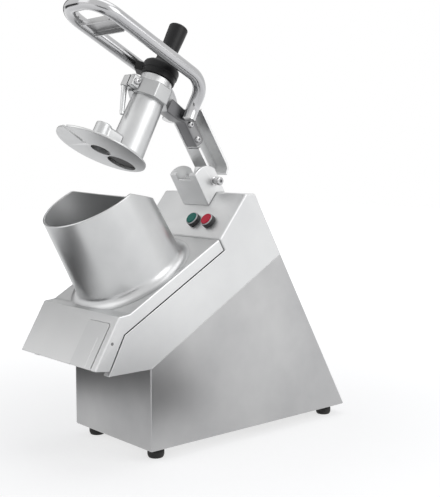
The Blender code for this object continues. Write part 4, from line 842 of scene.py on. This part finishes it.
# Push buttons
# Green to start and red to stop. Each has a black collar screwed through the control face, a pale
# ring and a cap of coloured plastic that goes down 3 mm.
green_cap = plastic(
    "green_cap", (0.008, 0.165, 0.135), (0.012, 0.185, 0.150), 0.34, 700.0, 0.00001,
    Specular_IOR_Level=0.22,
)
red_cap = plastic(
    "red_cap", (0.60, 0.012, 0.045), (0.64, 0.020, 0.055), 0.34, 700.0, 0.00001, Specular_IOR_Level=0.22,
)
ring_plastic = plastic("ring_plastic", (0.58, 0.58, 0.59), (0.50, 0.50, 0.51), 0.35, 900.0, 0.00001)
NECK_LOW = -CAST_WALL - 0.006
caps = {"start": (green_cap, "green_button"), "stop": (red_cap, "red_button")}
for name, side in BUTTON_PLACES.items():
    place = PANEL @ at(side, BUTTON_UP_FACE, 0)
    collar_profile = [
        (0.0127, 0.0085), (0.0131, 0.0081), (0.0133, 0.0070), (0.0135, 0.0020), (0.0135, 0.0003),
        (0.0110, 0.0003), (0.0110, NECK_LOW), (0.0043, NECK_LOW), (0.0043, 0.0015), (0.0111, 0.0015),
        (0.0111, 0.0085),
    ]
    collar = shade(turned(name + "_guard", collar_profile, place, 64, ring=True))
    fit(collar, black_plastic, "base", [name + "_collar"])
    ring_profile = [
        (0.0113, 0.0104), (0.0119, 0.0107), (0.0126, 0.0103), (0.0130, 0.0096), (0.0130, 0.0088),
        (0.0112, 0.0088), (0.0112, 0.0100),
    ]
    pale_ring = shade(turned(name + "_ring", ring_profile, place, 64, ring=True))
    fit(pale_ring, ring_plastic, "base")
    cap_profile = [
        (0, 0.0117), (0.0086, 0.0117), (0.0097, 0.0124), (0.0104, 0.0124), (0.0108, 0.0118),
        (0.0108, 0.0050), (0.0040, 0.0050), (0.0040, NECK_LOW - 0.007), (0, NECK_LOW - 0.007),
    ]
    finish, slot_name = caps[name]
    cap = shade(turned(name + "_cap", cap_profile, place, 64))
    fit(cap, finish, name, [name + "_button"])
finish_nodes(black_plastic, "start_switch", "stop_switch")

# Post
# A cast fork, bolted to the top of the housing from inside. Its two round ears hold the pivot bolt.
RAISED = math.radians(28)
PIVOT = (0.211, 0.479)
LEVER = MACHINE @ at(0, *PIVOT) @ Matrix.Rotation(-RAISED, 4, "X")
POST_FRONT = 0.388
POST_REAR = 0.436
POST_HALF_WIDTH = 0.038
POST_WALL = 0.005
POST_GAP = 0.0004
PIVOT_HOLE = 0.0053
EAR_RADIUS = 0.0365
ear = sloped(0.1955, 0.4705)
front_low = PANEL_FOOT[1] + (POST_FRONT - PANEL_FOOT[0]) * math.tan(PANEL_SLOPE)
start_turn = math.degrees(math.acos((POST_REAR - ear[0]) / EAR_RADIUS))
end_turn = 180 - math.degrees(math.acos((ear[0] - POST_FRONT) / EAR_RADIUS))
outline = [
    (POST_FRONT, front_low + POST_GAP), (panel_top[0], panel_top[1] + POST_GAP),
    (POST_REAR, housing_level(POST_REAR) + POST_GAP), *arc(ear, EAR_RADIUS, start_turn, end_turn, 32),
]
post = prism("post_fork", outline, -POST_HALF_WIDTH, POST_HALF_WIDTH, HEAD)
round_edges(post, 0.0022, 4, angle=50)
inner = POST_HALF_WIDTH - POST_WALL
work(post, block("post_hollow", (-inner, POST_FRONT + POST_WALL, 0.2), (inner, POST_REAR + 0.02, 0.4), HEAD))
work(post, block("post_notch", (-0.0195, POST_FRONT - 0.01, 0.330), (0.0195, 0.41, 0.4), HEAD))
pivot_line = LEVER @ ALONG_X
work(post, rod("pivot_hole", PIVOT_HOLE, -0.05, 0.05, pivot_line, 48))
round_edges(post, 0.0007, 2, angle=50)
shade(post)
fit(post, satin_cast, "base", ["post_bracket"])

bolt_profile = [
    (0, 0.0580), (0.0052, 0.0580), (0.0068, 0.0574), (0.0078, 0.0562), (0.0080, 0.0545), (0.0080, 0.0510),
    (0.0074, 0.0500), (0.0062, 0.0497), (0.0062, 0.0430), (0.0085, 0.0424), (0.0085, 0.0383),
    (0.0050, 0.0383), (0.0050, -0.0463), (0, -0.0463),
]
pivot_bolt = turned("pivot_screw", bolt_profile, pivot_line, 64)
work(pivot_bolt, rod("socket", 0.0035, 0.0535, 0.06, pivot_line, 6))
fit(shade(pivot_bolt), polished_steel, "base", ["pivot_bolt"])
finish_nodes(polished_steel, "pivot_nut")

# Lever arm
# A cast channel, open to the right, that swings on the pivot bolt. Two bolts hold the tongue of the
# clamp bracket in it; the tongue is coloured darker as painted shade between the channel's flanges. The
# bracket's split ring grips the neck of the feed tube.
ARM_SLOPE = math.radians(30)
ARM = LEVER @ Matrix.Rotation(-ARM_SLOPE, 4, "X")
ARM_LENGTH = 0.120
ARM_FRONT = 0.014
ARM_REAR = 0.062
ARM_HALF_WIDTH = 0.0185
ARM_WALL = 0.005
ARM_BOSS = 0.0125
TUBE_OFFSET = 0.0492
hopper_distance = PIVOT[0] * math.cos(TILT) + PIVOT[1] * math.sin(TILT) - DISC_PLACE
tube_distance = hopper_distance - TUBE_OFFSET
TUBE_AXIS = LEVER @ at(0, -tube_distance, 0)
PLATE_AXIS = LEVER @ at(0, -hopper_distance, 0)

end = 0.018
rear_edge = [(end, 0.048), (0.011, 0.058), (0, ARM_REAR)]
web = [
    (-ARM_LENGTH, ARM_FRONT), (-0.022, ARM_FRONT), *arc((0, 0), ARM_BOSS, 165, 375, 32), (end, 0.036),
    *rear_edge, (-ARM_LENGTH, ARM_REAR),
]
inner_web = -ARM_HALF_WIDTH + ARM_WALL
arm = prism("arm_channel", web, -ARM_HALF_WIDTH, inner_web, ARM)
rear_flange = [
    (-ARM_LENGTH, ARM_REAR - ARM_WALL), (-0.001, ARM_REAR - ARM_WALL), (0.0075, 0.0545), (0.0130, 0.0470),
    *rear_edge, (-ARM_LENGTH, ARM_REAR),
]
join(arm, prism("rear_flange", rear_flange, -ARM_HALF_WIDTH, ARM_HALF_WIDTH, ARM))
low, high = (-ARM_HALF_WIDTH, -0.062, ARM_FRONT), (ARM_HALF_WIDTH, -0.022, ARM_FRONT + ARM_WALL)
join(arm, block("front_flange", low, high, ARM))
join(arm, rod("arm_boss", ARM_BOSS, -0.0327, 0.0327, pivot_line))
work(arm, rod("arm_bore", PIVOT_HOLE, -0.05, 0.05, pivot_line, 48))


def lever_point(along, across):
    """A point of the arm as (Y, Z) of the lever's frame."""
    y = -along * math.cos(ARM_SLOPE) + across * math.sin(ARM_SLOPE)
    z = along * math.sin(ARM_SLOPE) + across * math.cos(ARM_SLOPE)
    return y, z


RING_LOW = 0.068
RING_HIGH = 0.098
NECK_RADIUS = 0.0295
RING_RADIUS = 0.0375
tongue_low = inner_web + CLEARANCE
tongue_high = tongue_low + 0.029
ring_rear = -tube_distance + NECK_RADIUS + 0.004
outline = [
    lever_point(0.065, ARM_FRONT), lever_point(0.118, ARM_FRONT), (-0.112, RING_LOW - 0.001),
    (ring_rear, RING_LOW), (ring_rear, RING_HIGH - 0.002), (-0.105, RING_HIGH - 0.006),
    lever_point(0.118, 0.036), lever_point(0.069, 0.036), lever_point(0.065, 0.030),
]
bracket = prism("clamp_casting", outline, tongue_low, tongue_high, LEVER)
round_edges(bracket, 0.0022, 3)
FLATS = 8
eighth = TUBE_AXIS @ Matrix.Rotation(math.pi / FLATS, 4, "Z")
clamp_ring = rod("clamp_ring", RING_RADIUS / math.cos(math.pi / FLATS), RING_LOW, RING_HIGH, eighth, FLATS)
join(bracket, round_edges(clamp_ring, 0.0018, 3))
ring_front = -tube_distance - RING_RADIUS
low, high = (-0.022, ring_front - 0.016, RING_LOW + 0.004), (0.013, ring_front + 0.006, RING_HIGH - 0.004)
join(bracket, round_edges(block("clamp_lug", low, high, LEVER), 0.002, 3))
HANDLE_FOOT_HALF = 0.0311
HANDLE_FOOT = (-0.101, 0.086)
foot_line = LEVER @ at(0, *HANDLE_FOOT) @ ALONG_X
join(bracket, rod("handle_boss", 0.009, -HANDLE_FOOT_HALF + 0.0123, HANDLE_FOOT_HALF - 0.0123, foot_line, 48))
work(bracket, rod("tube_seat", NECK_RADIUS + CLEARANCE, RING_LOW - 0.02, RING_HIGH + 0.02, TUBE_AXIS, 96))
low, high = (-0.0015, ring_front - 0.03, RING_LOW - 0.01), (0.0015, ring_front + 0.012, RING_HIGH + 0.01)
work(bracket, block("clamp_slit", low, high, LEVER))
clamp_line = LEVER @ at(0, ring_front - 0.007, (RING_LOW + RING_HIGH) / 2) @ ALONG_X
BOLT_HOLE = 0.0043
work(bracket, rod("clamp_hole", BOLT_HOLE, -0.02, 0.02, clamp_line, 32))


def screw(name, low, head, line):
    """A domed screw with a six sided socket."""
    profile = [
        (0, head + 0.0050), (0.0030, head + 0.0050), (0.0048, head + 0.0044), (0.0060, head + 0.0030),
        (0.0064, head + 0.0015), (0.0064, head), (0.0040, head), (0.0040, low), (0, low),
    ]
    made = turned(name, profile, line, 48)
    work(made, rod("socket", 0.0024, head + 0.0022, head + 0.006, line, 6))
    return shade(made)


for name, along in {"arm_bolt_lower": 0.077, "arm_bolt_upper": 0.109}.items():
    line = LEVER @ at(0, *lever_point(along, ARM_FRONT + 0.009)) @ ALONG_X
    for held in (bracket, arm):
        work(held, rod("bolt_hole", BOLT_HOLE, -0.03, 0.03, line, 32))
    bolt = screw(name + "_screw", -ARM_HALF_WIDTH, tongue_high + CLEARANCE, line)
    fit(bolt, polished_steel, "lever", [name])
bolt = screw("clamp_screw", -0.012, 0.0133, clamp_line)
fit(bolt, polished_steel, "lever", ["clamp_bolt"])
round_edges(arm, 0.0008, 2, angle=50)
shade(arm)
shade(bracket)
fit(arm, satin_cast, "lever", ["lever_arm"])
clamp_cast = metal(
    "clamp_cast", (0.46, 0.465, 0.465), (0.38, 0.385, 0.39), (0.62, 0.62, 0.62), 0.34, 0.10,
    (1000.0, 1000.0, 1000.0), 0.00002,
)
# Painted shade: the tongue's faces, behind the ring, get a darker finish that stands for the shade in the
# channel.
behind_ring = LEVER.inverted() @ bracket.matrix_world
tongue_faces = []
for k, face in enumerate(bracket.data.polygons):
    if (behind_ring @ face.center).y > ring_rear + 0.004:
        tongue_faces.append(k)
fit(bracket, clamp_cast, "lever", ["clamp_bracket"])
tongue_painted_shade = metal(
    "tongue_painted_shade", (0.20, 0.20, 0.205), (0.15, 0.15, 0.155), (0.40, 0.40, 0.40), 0.38, 0.10,
    (1000.0, 1000.0, 1000.0), 0.00002,
)
coat(bracket, tongue_painted_shade, tongue_faces)

# Feed tube, pusher plate and finger
# The feed tube is a cast aluminium pipe that widens towards its foot. It stands on the pusher plate, a
# turned cast disc with the tube's opening, a blind recess for the disc hub, a stud with a web, and a slot
# to the rim. A thin tapered finger hangs in front of the tube.
TUBE_BORE = 0.0265
TUBE_FOOT_RADIUS = 0.033
TUBE_TOP = 0.113
PLATE_RADIUS = 0.0835
PLATE_LOW = -0.057
PLATE_TOP = -0.053
profile = [
    (NECK_RADIUS - 0.001, TUBE_TOP), (NECK_RADIUS, TUBE_TOP - 0.001), (NECK_RADIUS, RING_LOW - 0.004),
    *[(TUBE_FOOT_RADIUS - 0.0006 - 0.0029 * k / 8, PLATE_TOP + 0.012 + 0.019 * k) for k in (5, 3, 1, 0)],
    (TUBE_FOOT_RADIUS, PLATE_TOP + 0.004), (TUBE_FOOT_RADIUS, PLATE_TOP + CLEARANCE),
    (TUBE_BORE, PLATE_TOP + CLEARANCE), (TUBE_BORE, TUBE_TOP - 0.001), (TUBE_BORE + 0.001, TUBE_TOP),
]
feed_tube = shade(turned("feed_pipe", profile, TUBE_AXIS, 96, ring=True))
fit(feed_tube, bright_cast, "lever", ["feed_tube"])

profile = [
    (0, PLATE_TOP), (PLATE_RADIUS - 0.0015, PLATE_TOP),
    *arc((PLATE_RADIUS - 0.0015, PLATE_TOP - 0.0015), 0.0015, 70, 0, 5),
    (PLATE_RADIUS, PLATE_LOW + 0.0010), (PLATE_RADIUS - 0.0003, PLATE_LOW + 0.0003),
    (PLATE_RADIUS - 0.0010, PLATE_LOW), (0, PLATE_LOW),
]
plate = turned("pusher_disc", profile, PLATE_AXIS, 160)
boss_top = PLATE_LOW + 0.021
boss_low = PLATE_TOP - 0.002
boss = [(0, boss_top), (0.0170, boss_top), (0.0185, boss_top - 0.0015), (0.0225, boss_low), (0, boss_low)]
join(plate, turned("recess_boss", boss, PLATE_AXIS, 64))
STUD_FORWARD = 0.013
STUD_RADIUS = 0.0145
STUD_TOP = -0.013
stud = [
    (0, STUD_TOP), (STUD_RADIUS - 0.0030, STUD_TOP),
    *arc((STUD_RADIUS - 0.0030, STUD_TOP - 0.0030), 0.0030, 75, 0, 5), (STUD_RADIUS + 0.0006, boss_low),
    (0, boss_low),
]
join(plate, turned("stud", stud, PLATE_AXIS @ at(0, -STUD_FORWARD, 0), 64))
low, high = (-0.009, -STUD_FORWARD, boss_low), (0.017, 0.028, STUD_TOP - 0.003)
join(plate, round_edges(block("stud_web", low, high, PLATE_AXIS), 0.006, 4))
work(plate, rod("hub_recess", 0.0185, PLATE_LOW - 0.01, PLATE_LOW + 0.017, PLATE_AXIS))
work(plate, rod("feed_hole", TUBE_BORE, PLATE_LOW - 0.01, STUD_TOP + 0.01, TUBE_AXIS, 96))
work(plate, rod("tube_clearing", TUBE_FOOT_RADIUS + CLEARANCE, PLATE_TOP, STUD_TOP + 0.01, TUBE_AXIS, 96))
slot_line = PLATE_AXIS @ at(-0.0116, -0.031, 0) @ Matrix.Rotation(math.radians(14), 4, "Z")
slot_half = 0.0042
low, high = (-slot_half, -0.07, PLATE_LOW - 0.01), (slot_half, 0, PLATE_TOP + 0.01)
work(plate, block("plate_slot", low, high, slot_line))
work(plate, rod("slot_end", slot_half, PLATE_LOW - 0.01, PLATE_TOP + 0.01, slot_line, 32))
round_edges(plate, 0.0006, 2, angle=50)
plate_cast = metal(
    "plate_cast", (0.56, 0.565, 0.565), (0.48, 0.485, 0.49), (0.80, 0.80, 0.80), 0.38, 0.10,
    (900.0, 900.0, 900.0), 0.00003,
)
# Painted highlight: the slot's wall faces get a near white finish that stands for the light falling on them.
slot_way = -slot_line.col[1].to_3d()
slot_walls = []
for k, face in enumerate(shade(plate).data.polygons):
    reach = plate.matrix_world @ face.center - slot_line.translation
    beside = (reach - slot_way * max(reach.dot(slot_way), 0)).length
    flat = abs((plate.matrix_world.to_3x3() @ face.normal).dot(PLATE_AXIS.col[2].to_3d())) > 0.9
    if beside < slot_half + 0.003 and not flat:
        slot_walls.append(k)
fit(plate, plate_cast, "lever", ["pusher_plate"])
# Painted highlight: near white finish for the slot's lit walls.
slot_wall_painted_highlight = metal(
    "slot_wall_painted_highlight", (0.92, 0.92, 0.92), (0.86, 0.86, 0.86), (0.96, 0.96, 0.96), 0.55, 0.08,
    (900.0, 900.0, 900.0), 0.00002, metallic=0.2,
)
coat(plate, slot_wall_painted_highlight, slot_walls)

finger_top = Vector((-0.014, ring_front - 0.0105, RING_LOW + 0.0037))
finger_tip = Vector((-0.001, -tube_distance - TUBE_FOOT_RADIUS - 0.005, 0.020))
finger_lean = (finger_top - finger_tip).to_track_quat("Z", "Y").to_matrix().to_4x4()
finger_frame = LEVER @ Matrix.Translation(finger_tip) @ finger_lean
length = (finger_top - finger_tip).length
profile = [
    (0, length + 0.0040), (0.0052, length + 0.0040), (0.0050, length - 0.0100), (0.0041, 0.0060),
    (0.0040, 0.0014), (0.0033, 0.0004), (0.0020, 0.0), (0, 0.0),
]
finger = turned("tapered_finger", profile, finger_frame, 48)
trim_low = (-0.04, finger_top.y - 0.02, finger_top.z)
work(finger, block("finger_trim", trim_low, (0.02, finger_top.y + 0.02, RING_HIGH), LEVER))
shade(finger)
fit(finger, bright_cast, "lever", ["guide_finger"])

# Pestle
# Black moulded plastic: a plug that slides in the feed tube, a wide cap that rests on the tube's end
# with a lug at its side, and a round grip above.
CAP_RADIUS = 0.034
seat = TUBE_TOP + CLEARANCE
cap_top = seat + 0.031
GRIP_TOP = 0.225
profile = [
    (0, GRIP_TOP - CLEARANCE), (0.0120, GRIP_TOP - CLEARANCE),
    *[(0.0140 + x, GRIP_TOP - 0.004 + z) for x, z in arc((0, 0), 0.004, 80, 0, 5)],
    (0.0176, GRIP_TOP - 0.020), (0.0166, GRIP_TOP - 0.045), (0.0170, cap_top + 0.010),
    (0.0178, cap_top + 0.005), (0.0205, cap_top + 0.0012), (0.0240, cap_top),
    (CAP_RADIUS - 0.0045, cap_top - 0.0022), (CAP_RADIUS - 0.0012, cap_top - 0.0050),
    (CAP_RADIUS, cap_top - 0.0085), (CAP_RADIUS, seat + 0.0120), (CAP_RADIUS - 0.0012, seat + 0.0110),
    (CAP_RADIUS - 0.0012, seat + 0.0008), (CAP_RADIUS - 0.0020, seat), (0.0260, seat), (0.0260, -0.0500),
    (0.0250, -0.0525), (0.0235, -0.0530), (0, -0.0530),
]
pestle = turned("pestle_body", profile, TUBE_AXIS, 96)
lug_place = TUBE_AXIS @ Matrix.Rotation(math.radians(40), 4, "Z")
lug = block("lug", (-0.045, -0.013, seat + 0.004), (-CAP_RADIUS + 0.006, 0.013, cap_top - 0.010), lug_place)
join(pestle, round_edges(lug, 0.002, 3))
pestle_black = plastic(
    "pestle_black", (0.004, 0.004, 0.0045), (0.008, 0.008, 0.009), 0.42, 1100.0, 0.00003,
    Specular_IOR_Level=0.3,
)
fit(shade(pestle), pestle_black, "pestle", ["pestle"])

# Handle
# One loop of polished stainless tube, bent round the feed tube and welded to the clamp's two bosses. A
# folded sheet plate is welded across it near the front.
HANDLE_RADIUS = 0.012
HANDLE_HALF_WIDTH = 0.056
HANDLE_HEIGHT = 0.140
HANDLE_FRONT = 0.379


def bent_path(corners, radii, steps=14):
    """A path through corners, each rounded by an arc of its own radius."""
    corners = [Vector(corner) for corner in corners]
    points = [corners[0]]
    for before, corner, after, radius in zip(corners, corners[1:], corners[2:], radii):
        back = (before - corner).normalized()
        ahead = (after - corner).normalized()
        half = back.angle(ahead) / 2
        centre = corner + (back + ahead).normalized() * radius / math.sin(half)
        first = corner + back * radius / math.tan(half) - centre
        last = corner + ahead * radius / math.tan(half) - centre
        points += [centre + first.slerp(last, i / steps) * radius for i in range(steps + 1)]
    return points + [corners[-1]]


right = [
    (HANDLE_FOOT_HALF, HANDLE_FOOT[0], 0.074), (HANDLE_FOOT_HALF, HANDLE_FOOT[0] - 0.002, 0.100),
    (HANDLE_HALF_WIDTH, -0.118, HANDLE_HEIGHT), (HANDLE_HALF_WIDTH, -HANDLE_FRONT, HANDLE_HEIGHT),
]
left = [(-x, y, z) for x, y, z in reversed(right)]
bends = [0.040, 0.045, 0.044, 0.044, 0.045, 0.040]
curve = bpy.data.curves.new("handle_tube", "CURVE")
curve.dimensions = "3D"
curve.bevel_depth = HANDLE_RADIUS
curve.bevel_resolution = 14
curve.use_fill_caps = True
points = bent_path(right + left, bends)
spline = curve.splines.new("POLY")
spline.points.add(len(points) - 1)
for held, point in zip(spline.points, points):
    held.co = (*(LEVER @ point), 1)
bar = bpy.data.objects.new("handle_tube", curve)
scene.collection.objects.link(bar)
bent = bmesh.new()
bent.from_mesh(bpy.data.meshes.new_from_object(bar.evaluated_get(bpy.context.evaluated_depsgraph_get())))
bmesh.ops.remove_doubles(bent, verts=bent.verts, dist=1e-6)
bpy.data.objects.remove(bar)
handle = piece_from("handle_bar", bent, Matrix())
fit(shade(handle), polished_steel, "lever", ["handle_loop"])

PLATE_SHEET = 0.002
rear_edge, front_edge = 0.302, 0.338
plate_face = HANDLE_HEIGHT + PLATE_SHEET / 2
drop = plate_face - 0.012
outline = [
    (-rear_edge, plate_face), (-front_edge, plate_face), (-front_edge, drop),
    (-front_edge + PLATE_SHEET, drop), (-front_edge + PLATE_SHEET, plate_face - PLATE_SHEET),
    (-rear_edge - PLATE_SHEET, plate_face - PLATE_SHEET), (-rear_edge - PLATE_SHEET, drop),
    (-rear_edge, drop),
]
cross_half = HANDLE_HALF_WIDTH - HANDLE_RADIUS - CLEARANCE
cross = prism("cross_plate", outline, -cross_half, cross_half, LEVER)
round_edges(cross, 0.0007, 3, angle=50)
fit(shade(cross), brushed_sheet, "lever", ["handle_cross_plate"])
